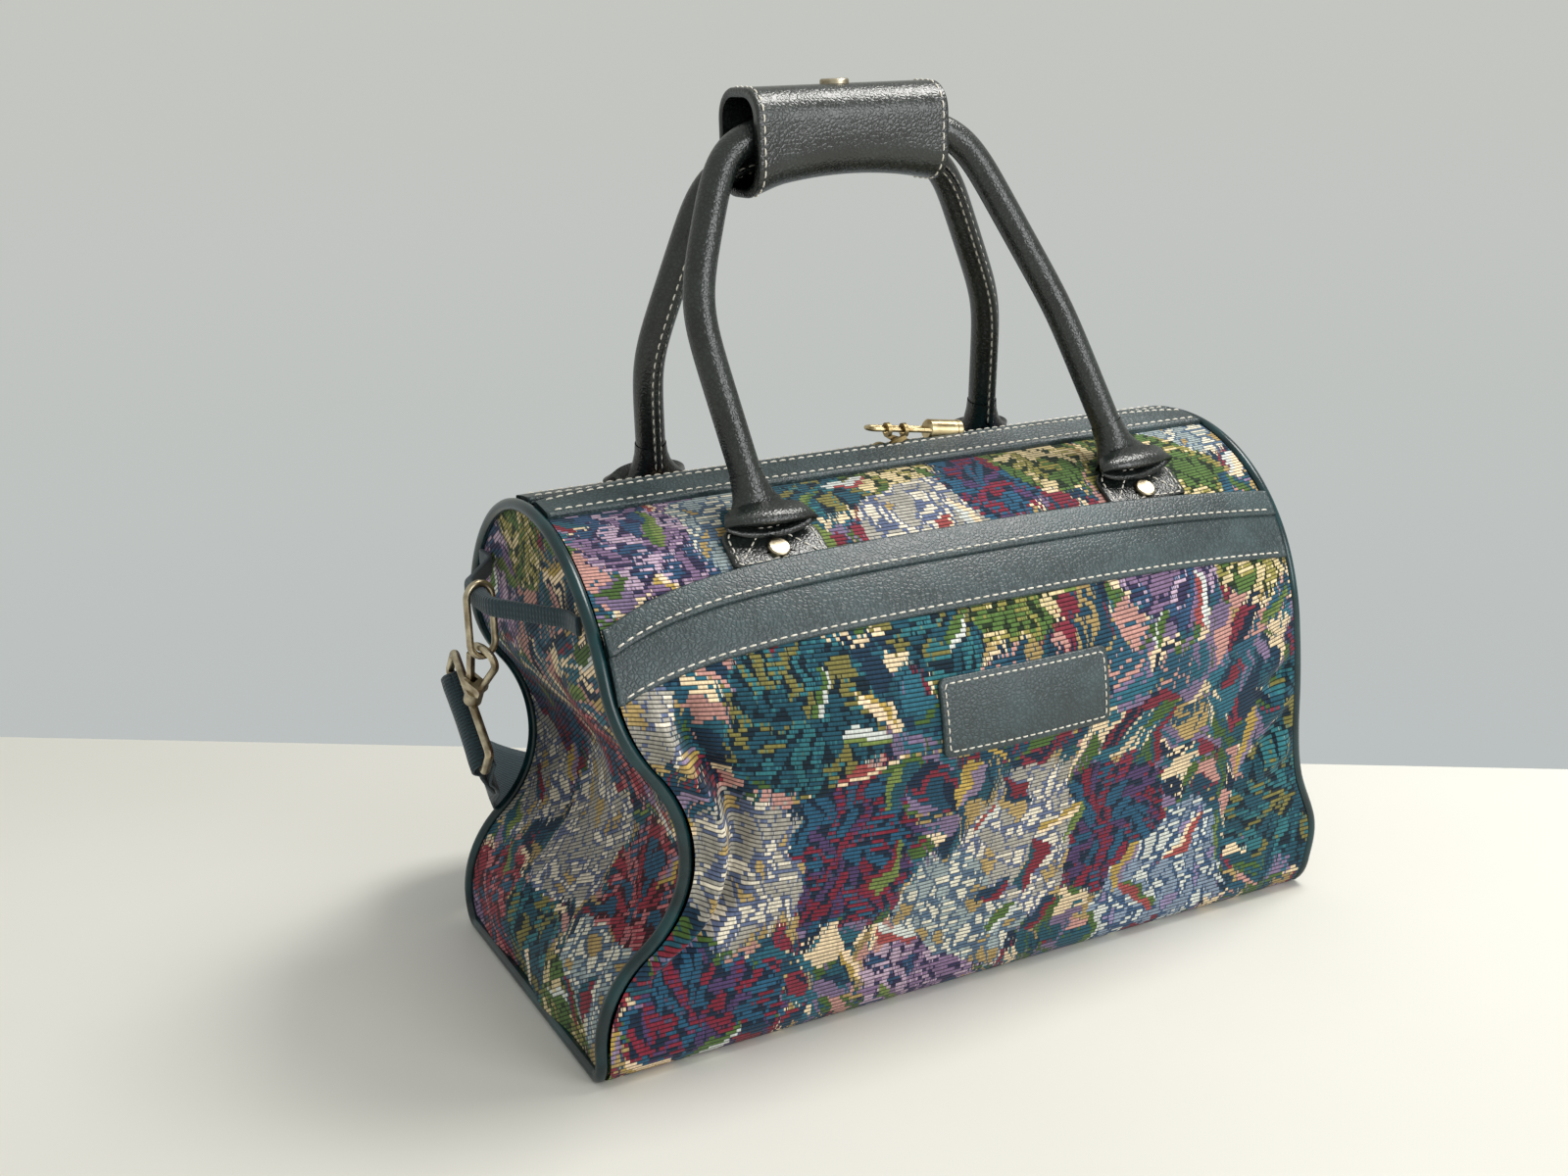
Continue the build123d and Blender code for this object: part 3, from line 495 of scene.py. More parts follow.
def tapestry_material(name):
    """Ribbed floral weave: blooms with rings of petals, clusters of florets and leaves, in steps of a rib."""
    m = new_material(name)

    def white(vector):
        return m.value("ShaderNodeTexWhiteNoise", {"noise_dimensions": "2D"}, {"Vector": vector}, "Value")

    def cloud(vector, scale, detail=1.0, out=0):
        return m.noise(vector, scale, detail, out, "2D")

    def cells(vector, size, feature="F1"):
        settings = {"voronoi_dimensions": "2D", "feature": feature}
        inputs = {"Vector": vector, "Scale": 1 / size, "Randomness": 1.0}
        return m.add("ShaderNodeTexVoronoi", settings, inputs).outputs

    def cell_values(cell):
        """Three random values of a cell."""
        return m.split(Value(m, cell["Color"]))

    def from_middle(vector, cell):
        x, y, _ = m.split(m.vector("SUBTRACT", vector, Value(m, cell["Position"])))
        return x, y

    def steps(factor, colours):
        return m.ramp(factor, [(i / len(colours), colour) for i, colour in enumerate(colours)], "CONSTANT")

    # Ribs, whose threads start and end unevenly
    px, py, _ = m.split(m.cloth_place())
    rib_at = py / RIB_PITCH
    row = m.calc("FLOOR", rib_at)
    thread_at = m.join(px, row * 37.7)
    fray = cloud(thread_at, 0.22)
    ragged = (white(m.join(row, 0.37)) - 0.5) * 1.8 + fray * 2.0
    stepped = m.join(px + ragged, (row + 0.5) * RIB_PITCH + fray * 1.6)
    warp = m.vector("SUBTRACT", cloud(stepped, 0.035, 2.0, "Color"), (0.5, 0.5, 0.5))
    drawn = m.vector("ADD", stepped, m.vector("SCALE", warp, DRIFT))
    hatch = m.calc("PINGPONG", row, 1.0) - 0.5

    # Ground, in strokes that fan out from each bloom
    bloom = cells(drawn, BLOOM_CELL)
    lx, ly = from_middle(drawn, bloom)
    radius = m.vector("LENGTH", m.join(lx, ly))
    angle = m.calc("ARCTAN2", ly, lx) + radius * 0.016
    kind, turn, size = cell_values(bloom)
    spoke = angle * STROKES_PER_RADIAN + turn * 40
    reach = radius / STROKE_LENGTH + kind * 17
    _, tint, hue_shift = cell_values(cells(m.join(spoke, reach), 1.0))
    uneven = cloud(m.join(spoke * 3.4, reach * 0.8), 1.0) - 0.5
    ground = steps(m.calc("FRACT", kind + hue_shift * 0.7) + uneven * 0.2, GROUND)

    # Blooms, with rings of petals
    tones = [steps(kind, tone) for tone in zip(*PALETTES)]
    ring_step = radius / PETAL_LENGTH
    ring = m.calc("FLOOR", ring_step)
    along_petal = m.calc("FRACT", ring_step)
    around = (angle / (2 * pi) + turn) * (ring * PETALS_PER_RING + PETALS_PER_RING)
    across_petal = m.calc("ABSOLUTE", m.calc("FRACT", around) - 0.5) * 2.0
    petal_width = 0.94 - along_petal * along_petal * 0.6
    petal_hue = white(m.join(m.calc("FLOOR", around) + ring * 31.7, kind * 97))
    petal_tone = petal_hue + (uneven * 0.5 + hatch * 0.12)
    flower = m.mix(petal_tone > 0.42, tones[1], tones[2])
    flower = m.mix(petal_tone > 0.74, flower, tones[3])
    flower = m.mix(across_petal < petal_width, tones[0], flower)
    bloom_edge = size * BLOOM_VARIES + BLOOM_RADIUS + uneven * BLOOM_VARIES
    colour = m.mix(radius < bloom_edge, ground, flower)

    # Clusters of pale florets in place of the blooms of palettes 0, 4 and 5
    petal, accent, _ = cell_values(cells(drawn, FLORET_CELL))
    rim = Value(m, cells(drawn, FLORET_CELL, "DISTANCE_TO_EDGE")["Distance"])
    pale = m.mix(petal + hatch * 0.2 > 0.5, tones[0], tones[1])
    pale = m.mix(accent > 0.84, pale, tones[3])
    pale = m.mix(rim < petal * 0.2, pale, tones[2])
    palette = m.calc("FLOOR", kind * len(PALETTES))
    is_cluster = m.calc("COMPARE", palette, 0.0, 0.1) + m.calc("COMPARE", palette, 4.5, 0.6)
    colour = m.mix(is_cluster * (radius < bloom_edge + FLORET_MARGIN), colour, pale)

    # Leaves over all, each with a lighter or darker half
    leaf_at = m.vector("ADD", drawn, LEAF_OFFSET)
    leaf = cells(leaf_at, LEAF_CELL)
    fx, fy = from_middle(leaf_at, leaf)
    way, hue, shown = cell_values(leaf)
    tilt = way * (2 * pi)
    cosine, sine = m.calc("COSINE", tilt), m.calc("SINE", tilt)
    along = (fx * cosine + fy * sine) / LEAF_HALF_LENGTH
    aside = (fy * cosine - fx * sine) / LEAF_HALF_WIDTH
    on_leaf = (along * along + aside * aside < 1.0) * (shown > 0.62)
    blade = m.mix(aside > 0.15, steps(hue, LEAVES), steps(m.calc("FRACT", hue + 0.31), LEAVES))
    colour = m.mix(on_leaf, colour, blade)

    # Threads: uneven tone, and painted shade in the gaps between the ribs
    grain = cloud(thread_at, 0.9)
    shade = m.spread(grain, 0.25, 0.75, 0.9, 1.32) * m.spread(tint, 0.0, 1.0, 0.88, 1.14)
    rib = m.calc("SINE", m.calc("FRACT", rib_at) * pi)
    # The rib's height profile darkens the colour towards each gap between ribs: painted shade.
    colour = m.vector("SCALE", colour, shade * m.spread(rib, 0.12, 0.62, 0.1, 1.0))
    look = {"Roughness": 0.88, "Specular_IOR_Level": 0.25, "Sheen_Weight": 0.08}
    return m.surface(rib + grain * 0.15, 0.8, 0.0005, Base_Color=colour, **look)


def leather_material(name, dark, light, rough, lift):
    """Pebbled leather with a worn shine."""
    m = new_material(name)
    place = m.object_place()
    bent = m.vector("ADD", place, m.vector("SCALE", m.noise(place, 260.0, 1.0, "Color"), 0.0014))
    edge = {"feature": "DISTANCE_TO_EDGE"}
    pebble = m.value("ShaderNodeTexVoronoi", edge, {"Vector": bent, "Scale": 520.0})
    smooth = {"interpolation_type": "SMOOTHSTEP"}
    round_top = m.value("ShaderNodeMapRange", smooth, {"Value": pebble, "From Max": 0.3})
    cloud = m.noise(place, 38.0, 5.0, rough=0.6)
    # The pebble height also sets the colour: pebble tops lighter and the creases between them darker, as
    # painted shade; the cloud is random mottling.
    colour = m.ramp(cloud * 0.75 + round_top * 0.22, [(0.36, dark), (0.72, light)])
    look = {"Roughness": cloud * 0.2 + (rough - 0.1), "Specular_IOR_Level": 0.7}
    return m.surface(round_top + cloud * 0.8, lift, 0.0005, Base_Color=colour, **look)


def metal_material(name, dark, light, rough):
    """Cast metal with a cloudy tarnish."""
    m = new_material(name)
    cloud = m.noise(m.object_place(), 160.0, 5.0)
    colour = m.ramp(cloud, [(0.35, dark), (0.62, light)])
    rough = cloud * 0.2 + (rough - 0.1)
    return m.surface(cloud, 0.12, 0.0002, Base_Color=colour, Metallic=1.0, Roughness=rough)


def webbing_material(name, dark, light, ridge_pitch=1.7, pick_pitch=2.4):
    """Ribbed tape, from the piece's own distances."""
    m = new_material(name)
    place = m.cloth_place()
    px, py, _ = m.split(place)
    ridge = m.calc("SINE", px * (2 * pi / ridge_pitch))
    pick = m.calc("SINE", py * (2 * pi / pick_pitch))
    weave = ridge * 0.35 + ridge * pick * 0.25
    # The colour follows the weave height: ridges lighter and the grooves between them darker, as painted
    # shade, with random tone from noise on top.
    shade = weave * 0.5 + m.noise(place, 0.9, 3.0)
    colour = m.ramp(shade, [(0.25, dark), (0.8, light)])
    return m.surface(weave, 0.6, 0.0005, Base_Color=colour, Roughness=0.7, Sheen_Weight=0.2)


def plain_material(name, dark, light, rough, scale=80.0, lift=0.1):
    """One cloudy colour."""
    m = new_material(name)
    cloud = m.noise(m.object_place(), scale, 4.0)
    colour = m.ramp(cloud, [(0.35, dark), (0.65, light)])
    return m.surface(cloud, lift, 0.0003, Base_Color=colour, Roughness=rough)


tapestry = tapestry_material("tapestry")
leather = leather_material("leather", "17292c", "354b4e", 0.42, 0.25)
dark_leather = leather_material("dark_leather", "0c110f", "262e2b", 0.28, 0.22)
piping_vinyl = plain_material("piping_vinyl", "082124", "10383c", 0.25, 60.0, 0.05)
webbing = webbing_material("webbing", "05161d", "143c47")
nickel = metal_material("antique_nickel", "8a7d66", "c8bda4", 0.32)
brass = metal_material("padlock_brass", "978059", "d9c79c", 0.3)
zip_metal = metal_material("zip_metal", "6b5c3e", "a8946a", 0.36)
thread = plain_material("stitch_thread", "cfc9b8", "f1ece0", 0.75, 900.0, 0.4)
zip_cloth = plain_material("zip_cloth", "0b1416", "1a2629", 0.85, 700.0, 0.4)
board = plain_material("board", "141616", "202424", 0.6)

# Tapestry panels; a span gives the heights where a form starts, is whole, starts to fade and ends
seam_overlap = 4.0
base_overlap = 2.0
band_overlap = 2.0
cloth_lift = 0.2
pocket_lift = 2.0
table_gap = 0.1
zip_cloth_y = 13.0
POCKET_SPAN = (16, 34, 168, 181)
BACK_SPAN = (4, 30, 222, 233)
FOLD_SPAN = (40, 80, 150, 178)
fold_middle = 100.0
ridge_rise, ridge_place, ridge_lean, ridge_width = 8.5, 9.0, 0.03, 4.6
valley_sink, valley_place, valley_lean, valley_width = 9.0, 20.0, 0.08, 5.0
PLEAT_SPAN = (60, 75, 120, 150)
pleat_rise, pleat_place, pleat_width, pleat_pitch, pleat_slant = 3.2, 10.0, 14.0, 26.0, 0.5
band_half_length = 172.0
band_rise, band_droop, band_left_droop = 1.0, 7.0, 8.0
wave_crowding = 2.2
rng = np.random.default_rng(7)
WAVES = [
    (rng.uniform(0.010, 0.035), rng.uniform(0.010, 0.04), rng.uniform(0, 2 * pi), rng.uniform(0.2, 0.55))
    for _ in range(9)
]


def soft_waves(x, s):
    """Gentle unevenness of stuffed cloth."""
    x, s = x * wave_crowding, s * wave_crowding
    return sum(rise * np.sin(fx * x + phase) * np.sin(fs * s + phase * 1.7) for fx, fs, phase, rise in WAVES)


def pocket_folds(x, s, z, from_left, from_right):
    """Folds of the pocket: a ridge and a valley beside the left piping, and short pleats by the right end."""
    up = z - fold_middle
    ridge = ridge_rise * hump(from_left, ridge_place + ridge_lean * up, ridge_width)
    valley = valley_sink * hump(from_left, valley_place + valley_lean * up, valley_width)
    pleat = pleat_rise * np.sin((z + pleat_slant * from_right) * 2 * pi / pleat_pitch)
    pleat = pleat * hump(from_right, pleat_place, pleat_width) * between(PLEAT_SPAN, z)
    edge = np.minimum(smoothstep(0, 5, from_left), smoothstep(0, 8, from_right))
    folds = soft_waves(x, s) + (ridge - valley) * between(FOLD_SPAN, z) + pleat
    return folds * edge * between(POCKET_SPAN, z)


def back_waves(x, s, z, from_left, from_right):
    """Unevenness of the back, which fades towards its edges."""
    edge = np.minimum(smoothstep(0, 10, from_right), smoothstep(0, 10, from_left))
    return soft_waves(x, s) * edge * between(BACK_SPAN, z)


def band_drop(x):
    """The pocket's band droops towards the ends, the left one most."""
    share = np.asarray(x, float) / band_half_length
    return band_rise - band_droop * np.abs(share) ** 2.6 - band_left_droop * np.clip(-share, 0, 1) ** 7


def band_line(z):
    """A line on the skin that follows the pocket's band at a height."""
    return lambda x: s_at_height(x, z + band_drop(x))


def zip_line(y):
    """A line on the skin at a distance from the zip."""
    return lambda x: s_at_y(x, y)


def foot_line(x):
    """The seam at the foot of the front and back."""
    return np.full_like(x, RUN_ENDS[1] + seam_overlap)


def cloth_patch(name, s_low, s_high, off, node, rows, cols, uv_shift, move=None, back=False):
    """A cloth panel on the stuffed shape between two lines and the two ends."""
    along = np.linspace(0, 1, rows)[:, None]
    across = np.linspace(-1, 1, cols)[None, :]
    first_half_length = 170.0
    x = across * first_half_length + 0 * along
    for _ in range(6):
        low = s_low(x)
        s = low + along * (s_high(x) - low)
        z = section(x, s, off)[0][..., 2]
        left, right = (end_x(z, side) - piping_depth for _, side in ENDS)
        x = -left + (across + 1) / 2 * (left + right)
    point, normal = section(x, s, off)
    if move is not None:
        point = point + normal * move(x, s, point[..., 2], left + x, right - x)[..., None]
    point[..., 2] = np.maximum(point[..., 2], table_gap)
    uv = np.stack([x + uv_shift[0], s + uv_shift[1]], -1)
    faces = grid_faces(rows, cols)
    if back:
        point, faces, uv = point * MIRROR_Y, flipped(faces), uv * (-1, 1)
    return make(name, point, faces, tapestry, "tapestry", node, uv=uv)


def base_patch():
    """The bottom cloth, up to the front and back seams."""
    rows, cols = 40, 60
    half_run = RUN_ENDS[2] + base_overlap
    half_length = base_half_length - piping_depth
    x, s = np.meshgrid(np.linspace(-half_length, half_length, cols), np.linspace(-half_run, half_run, rows))
    point, _ = section(x, np.abs(s), -cloth_lift)
    point[..., 1] = np.where(s > 0, -point[..., 1], point[..., 1])
    faces = flipped(grid_faces(rows, cols))
    make("base_cloth", point, faces, tapestry, "tapestry", "bottom_panel", uv=np.stack([x, s], -1))


def end_patch(end, side):
    """An end panel, caved in at the waist, with its cloth turned on the bias."""
    rows, cols = 100, 60
    foot, head_gap, side_gap, sunk = 1.2, 3.3, 2.2, 1.4
    bias = radians(-32)
    uv_shift = (610 + 200 * side, 40)
    heights = foot + (bag_height - foot - head_gap) * (1 - (1 - np.linspace(0, 1, rows)) ** 1.7)
    edge = end_x(heights, side)
    across = np.linspace(-1, 1, cols)[None, :]
    y = (half_width(edge, heights) - side_gap)[:, None] * across
    z = np.repeat(heights[:, None], cols, 1)
    hollow = 3.0 * hump(z, 100, 30) - 2.0 * hump(z, 40, 22)
    slant = 1.6 * np.sin((z * 0.6 + y) * 2 * pi / 70) * smoothstep(225, 120, z)
    dent = (1 - across**4) * (hollow + 0.8 * soft_waves(y * 1.4, z * 1.2) + slant)
    x = edge[:, None] - sunk - dent
    run = np.repeat(distances(np.column_stack([heights, edge]))[:, None], cols, 1)
    u = y * side * cos(bias) - run * sin(bias) + uv_shift[0]
    v = y * side * sin(bias) + run * cos(bias) + uv_shift[1]
    faces = grid_faces(rows, cols)
    faces = flipped(faces) if side < 0 else faces
    verts, uv = np.stack([side * x, y, z], -1), np.stack([u, v], -1)
    return make(f"{end}_end_cloth", verts, faces, tapestry, "tapestry", f"{end}_end_panel", uv=uv)


zip_side = zip_line(zip_cloth_y)
pocket_lines = (foot_line, band_line(band_low + band_overlap), pocket_lift)
front_lines = (band_line(band_mouth - band_overlap), zip_side, cloth_lift)
back_lines = (foot_line, zip_side, cloth_lift)
padded_cloths = [
    cloth_patch("pocket_cloth", *pocket_lines, "pocket_panel", 110, 170, (300, 200), pocket_folds),
    cloth_patch("front_cloth", *front_lines, "front_panel", 26, 150, (47, 220)),
    cloth_patch("back_cloth", *back_lines, "back_panel", 130, 150, (160, 310), back_waves, True),
]
base_patch()
padded_cloths += [end_patch(end, side) for end, side in ENDS]

# Piping round each end
cord_radius = 2.8
cord_sunk = 0.6
cord_inset = 0.8


def end_loop(side, count):
    """Points round an end, on the section whose place along the bag follows the end's outline."""
    up = np.linspace(0, RUN_ENDS[4], 700)
    s = np.concatenate([up, up[-2:0:-1]])
    mirror = np.where(np.arange(len(s)) < len(up), 1, -1)
    x = np.full(s.shape, shoulder_half_length)
    for _ in range(20):
        z = section(x, s, -cord_sunk)[0][:, 2]
        x = 0.5 * x + 0.5 * (end_x(z, side) - cord_inset)
    point, _ = section(x, s, -cord_sunk)
    point[:, 1] *= mirror
    return even_path(point, count, True)


for end, side in ENDS:
    path = end_loop(side, 260)
    path[:, 2] = np.maximum(path[:, 2], cord_radius)
    path[:, 0] *= side
    turn = full_turn(12)
    profile = np.column_stack([cord_radius * np.cos(turn), cord_radius * np.sin(turn)])
    verts, faces = sweep(path, profile, (side, 0, 0), True)
    make(f"{end}_piping_cord", verts, faces, piping_vinyl, "piping", f"{end}_piping")

# Stitches: short threads whose ends dip into the surface, each seam with its pitch, length and radius
SEAM = (4.7, 3.5, 0.42)
PATCH_SEAM = (3.9, 2.9, 0.38)
TAB_SEAM = (4.2, 3.1, 0.4)
seam_inset = 2.6
# Place along a stitch, girth and lift, as shares of its length and radius
STITCH_SHARES = (
    (-0.5, 0.25, -0.5),
    (-0.36, 0.85, 0.25),
    (0.0, 1.0, 0.6),
    (0.36, 0.85, 0.25),
    (0.5, 0.25, -0.5),
)
bag_rows = []


def sew(point, normal, seam=SEAM, back=False):
    """Keeps a row of stitches for the one mesh that holds them all."""
    mirror = MIRROR_Y if back else 1
    bag_rows.append((point * mirror, normal * mirror, *seam))


def closed_loop(points):
    return np.concatenate([points, points[:1]])


def stitch_mesh():
    """Verts and faces of all rows of stitches."""
    sides = 6
    verts, faces = [], []
    for path, normals, pitch, length, radius in bag_rows:
        run = distances(path)
        for at in np.arange(pitch / 2, run[-1], pitch):
            ahead = unit(at_distance(at + length / 2, run, path) - at_distance(at - length / 2, run, path))
            up = unit(at_distance(at, run, normals))
            across = unit(np.cross(ahead, up))
            faces += shifted(tube_faces(len(STITCH_SHARES), sides), len(verts))
            for along_share, girth_share, lift_share in STITCH_SHARES:
                middle = at_distance(at + along_share * length, run, path) + up * (lift_share * radius)
                for turn in full_turn(sides):
                    verts.append(middle + radius * girth_share * (across * np.cos(turn) + up * np.sin(turn)))
    return verts, faces


# Leather strips on the skin
strip_thick = 3.0
binding_thick = 4.6
binding_under = 2.6
face_under, binding_drop = 1.5, 3.0
strip_outer_y, strip_inner_y = 20.0, 4.0
zip_rise, zip_rise_half_length = 4.6, 176.0


def strip(name, s_low, s_high, thick, node, back=False, under=0.0, lift=None):
    """A leather strip between two lines, with rolled edges; lift raises it towards its upper edge."""
    cols, roll, end_overlap = 140, 1.3, 0.5
    half_length = shoulder_half_length - piping_depth + end_overlap
    x = np.linspace(-half_length, half_length, cols)
    low, high = s_low(x), s_high(x)
    edge = [(0.0, under), (0.0, thick - roll)]
    edge += [(roll - roll * cos(a), thick - roll + roll * sin(a)) for a in np.linspace(0.3, pi / 2, 4)]
    places = [(low + d, off) for d, off in edge]
    places += [(low + roll + share * (high - low - 2 * roll), thick) for share in np.linspace(0.12, 0.88, 8)]
    places += [(high - d, off) for d, off in reversed(edge)]
    rows = []
    for i, (at, off) in enumerate(places):
        rise = 0 if lift is None or i in (0, len(places) - 1) else lift(x, (at - low) / (high - low))
        rows.append(section(x, at, off + rise)[0])
    verts = np.concatenate(rows)
    faces = grid_faces(len(rows), cols)
    faces.append(tuple(i * cols for i in range(len(rows)))[::-1])
    faces.append(tuple(i * cols + cols - 1 for i in range(len(rows))))
    if back:
        verts, faces = verts * MIRROR_Y, flipped(faces)
    make(name, verts, faces, leather, "leather", node)


def zip_lift(x, share):
    """How far the front strip stands up."""
    return zip_rise * np.clip(share, 0, 1) ** 1.5 * (1 - np.abs(x / zip_rise_half_length) ** 8)


row_x = np.linspace(-171, 171, 260)
for name, node, low_z, high_z, thick, under in (
    ("face", "facing", band_low, band_mouth + face_under, strip_thick, 0.0),
    ("binding", "binding", band_mouth - binding_drop, band_top, binding_thick, binding_under),
):
    low_line = band_line(low_z)
    strip(f"pocket_{name}_band", low_line, band_line(high_z), thick, f"pocket_{node}", under=under)
    sew(*section(row_x, low_line(row_x) + seam_inset, thick))
for which, back in (("front", False), ("rear", True)):
    lines = zip_line(strip_outer_y), zip_line(strip_inner_y)
    lift = None if back else zip_lift
    strip(f"{which}_zip_edge", *lines, strip_thick, f"{which}_zip_strip", back, lift=lift)
    for row_y in (17.2, 6.8):
        share = (strip_outer_y - row_y) / (strip_outer_y - strip_inner_y)
        rise = 0 if back else zip_lift(row_x, share)
        sew(*section(row_x, s_at_y(row_x, row_y), strip_thick + rise), back=back)

# Patch on the pocket, left bare, with its sewn border
patch_x, patch_half, patch_low, patch_high = 10.0, 44.0, 124.0, 158.0
patch_top = 3.9
patch_corner = 3.2
# Inset from the outline and height over the skin of each ring of points
PATCH_EDGE = ((0, 1.6), (0, 3.0), (0.3, 3.6))
PATCH_INSETS = (0.9, 2, 6, 12, 16.9)


def patch_ring(inset, radius, off, count):
    """Points and normals of a rounded outline on the pocket's skin."""
    middle = (patch_x, (patch_low + patch_high) / 2)
    half = (patch_half - inset, (patch_high - patch_low) / 2 - inset)
    x, z = closed_loop(rounded_box(middle, half, [radius] * 4, 8, count)).T
    s = s_at_height(x, z)
    point, normal = section(x, s, off)
    from_left, from_right = (end_x(z, side) - piping_depth - side * x for _, side in ENDS)
    return point + normal * pocket_folds(x, s, z, from_left, from_right)[:, None], normal


def patch_mesh():
    count = 120
    rings = []
    for inset, off in PATCH_EDGE + tuple((inset, patch_top) for inset in PATCH_INSETS):
        rings.append(patch_ring(inset, max(patch_corner - inset, 0.05), off, count)[0][:-1])
    return tube(rings, False)


make("patch_leather", *patch_mesh(), leather, "leather", "label_patch")
sew(*patch_ring(seam_inset, 1.6, patch_top, 160), PATCH_SEAM)

# Handles: side, span, centre and top, and corners as shares across the span and up the lean
handle_radius = 7.0
handle_seat_x = 97.0
foot_y, top_y = 47.0, 7.2
flare_length, flare_overlap = 18.0, 5.0
HANDLE_BENDS = (40.0, 22.0, 26.0, 45.0)
FRONT_SHARES = ((-0.5, 0.0), (-0.59, 0.58), (-0.461, 1.0), (0.142, 1.0), (0.366, 0.47), (0.5, 0.0))
REAR_SHARES = ((-0.5, 0.0), (-0.538, 0.42), (-0.397, 1.0), (0.234, 1.0), (0.451, 0.5), (0.5, 0.0))
HANDLES = {"front": (-1, 194.0, 10.0, 385.0, FRONT_SHARES), "rear": (1, 184.0, -6.0, 373.0, REAR_SHARES)}
# Outline of the sewn fin, out from the tube and aside, and its seam
FIN = ((1.2, -1.25), (2.9, -1.2), (3.4, -0.8), (3.4, 0.8), (2.9, 1.2), (1.2, 1.25))
fin_root = radians(16)
fin_seam, fin_half = 1.9, 1.2


def handle_points(which):
    """Corners of a handle's line, and the way that its plane leans."""
    side, span, centre, top_z, shares = HANDLES[which]
    depth = float(half_depth(handle_seat_x))
    foot = np.array([0, side * foot_y, bag_height - depth + sqrt(depth * depth - foot_y**2)])
    lean = np.array([0, side * (top_y - foot_y), top_z - foot[2]])
    return np.array([foot + lean * up + (centre + across * span, 0, 0) for across, up in shares]), lean


turns = np.linspace(fin_root, 2 * pi - fin_root, 22)
rolled_tube = [(handle_radius * cos(turn), handle_radius * sin(turn)) for turn in turns]
handle_profile = np.array(rolled_tube + [(handle_radius + out, aside) for out, aside in FIN])
for which, (side, *_) in HANDLES.items():
    points, lean = handle_points(which)
    for end, knee in ((0, 1), (-1, -2)):
        points[end] = points[end] + unit(points[knee] - points[end]) * (flare_length - flare_overlap)
    path = relax(even_path(round_corners(points, HANDLE_BENDS), 150), 30)
    up = unit(lean)
    inward = np.array([0, -side * up[2], side * up[1]])
    verts, faces = sweep(path, handle_profile, inward)
    make(f"{which}_handle_leather", verts, faces, dark_leather, "leather", f"{which}_handle")
    fin_way, aside = frames_along(path, inward)
    for sign in (-1, 1):
        sew(path + fin_way * (handle_radius + fin_seam) + aside * (fin_half * sign), aside * sign)

# Tabs: a sewn plate on the cloth, and the cuff that the handle grows from
tab_width, tab_thick = 45.0, 2.4
tab_high = 221.0
tab_low = {"front": band_top - 1.5, "rear": 194.0}
tab_corner, tucked_corner = 8.0, 1.0
# Inset from the outline and height over the skin
TAB_RINGS = ((0, 0.1), (0, 1.6), (0.35, 2.2), (1.0, tab_thick), (5, tab_thick), (12, tab_thick))
# Distance up the handle, or down the skin, half width and half thickness
CUFF_TUBE = ((24, 7.4, 7.4), (19, 7.9, 7.5), (14, 9.4, 7.4), (9.5, 12.2, 7.0), (6, 15.4, 6.4))
CUFF_LIP = (
    (0, 18.8, 5.6), (3.5, 20.6, 5.2), (6.5, 21.8, 5.4),
    (6.4, 20.2, 4.0), (2.5, 18.6, 3.2), (0, 10, 1.5),
)
lip_bow, lip_length, lip_gap = 3.6, 6.4, 0.3
# The crossed seams of a tab: half width at the foot, how far they close, and gaps at foot and top
cross_half, cross_close, cross_foot, cross_top = 17.5, 12.0, 3.5, 7.0


def tab_plate(foot_x, low_s, high_s, back):
    """The plate sewn to the cloth, and its seam's line; the front ones are tucked under the band."""
    low_corner = tab_corner if back else tucked_corner
    radii = (tab_corner, tab_corner, low_corner, low_corner)
    outline = rounded_box((foot_x, (low_s + high_s) / 2), (tab_width / 2, (high_s - low_s) / 2), radii, 7, 90)
    inward = unit(outline.mean(0) - outline)
    rings = [section(*(outline + inward * inset).T, off)[0] for inset, off in TAB_RINGS]
    verts, faces = tube(rings, False)
    if back:
        verts, faces = verts * MIRROR_Y, flipped(faces)
    return verts, faces, closed_loop(outline + inward * seam_inset)


def cuff(foot, along, back):
    """The handle's tube flattens and spreads over the tab, and ends in a curved open lip."""
    mirror = MIRROR_Y if back else 1
    foot_s = float(s_at_y(foot[0], abs(foot[1])))
    turn = full_turn(48)
    x_way = unit(np.array([1.0, 0, 0]) - along * along[0])
    out_way = np.cross(along, x_way)
    out_way = out_way * np.sign(np.dot(out_way, section(foot[0], foot_s)[1] * mirror))
    rings = []
    for up, wide, thick in CUFF_TUBE:
        ring = np.outer(wide * np.cos(turn), x_way) + np.outer(thick * np.sin(turn), out_way)
        rings.append(foot + along * up + ring)
    for down, wide, thick in CUFF_LIP:
        bow = lip_bow * np.sin(turn) ** 2 * min(down / lip_length, 1)
        off = tab_thick + thick + thick * np.sin(turn) + lip_gap
        rings.append(section(foot[0] + wide * np.cos(turn), foot_s - down - bow, off)[0] * mirror)
    verts, faces = tube(rings, False)
    if np.dot(np.cross(x_way, out_way), along) > 0:
        faces = flipped(faces)
    return verts, faces


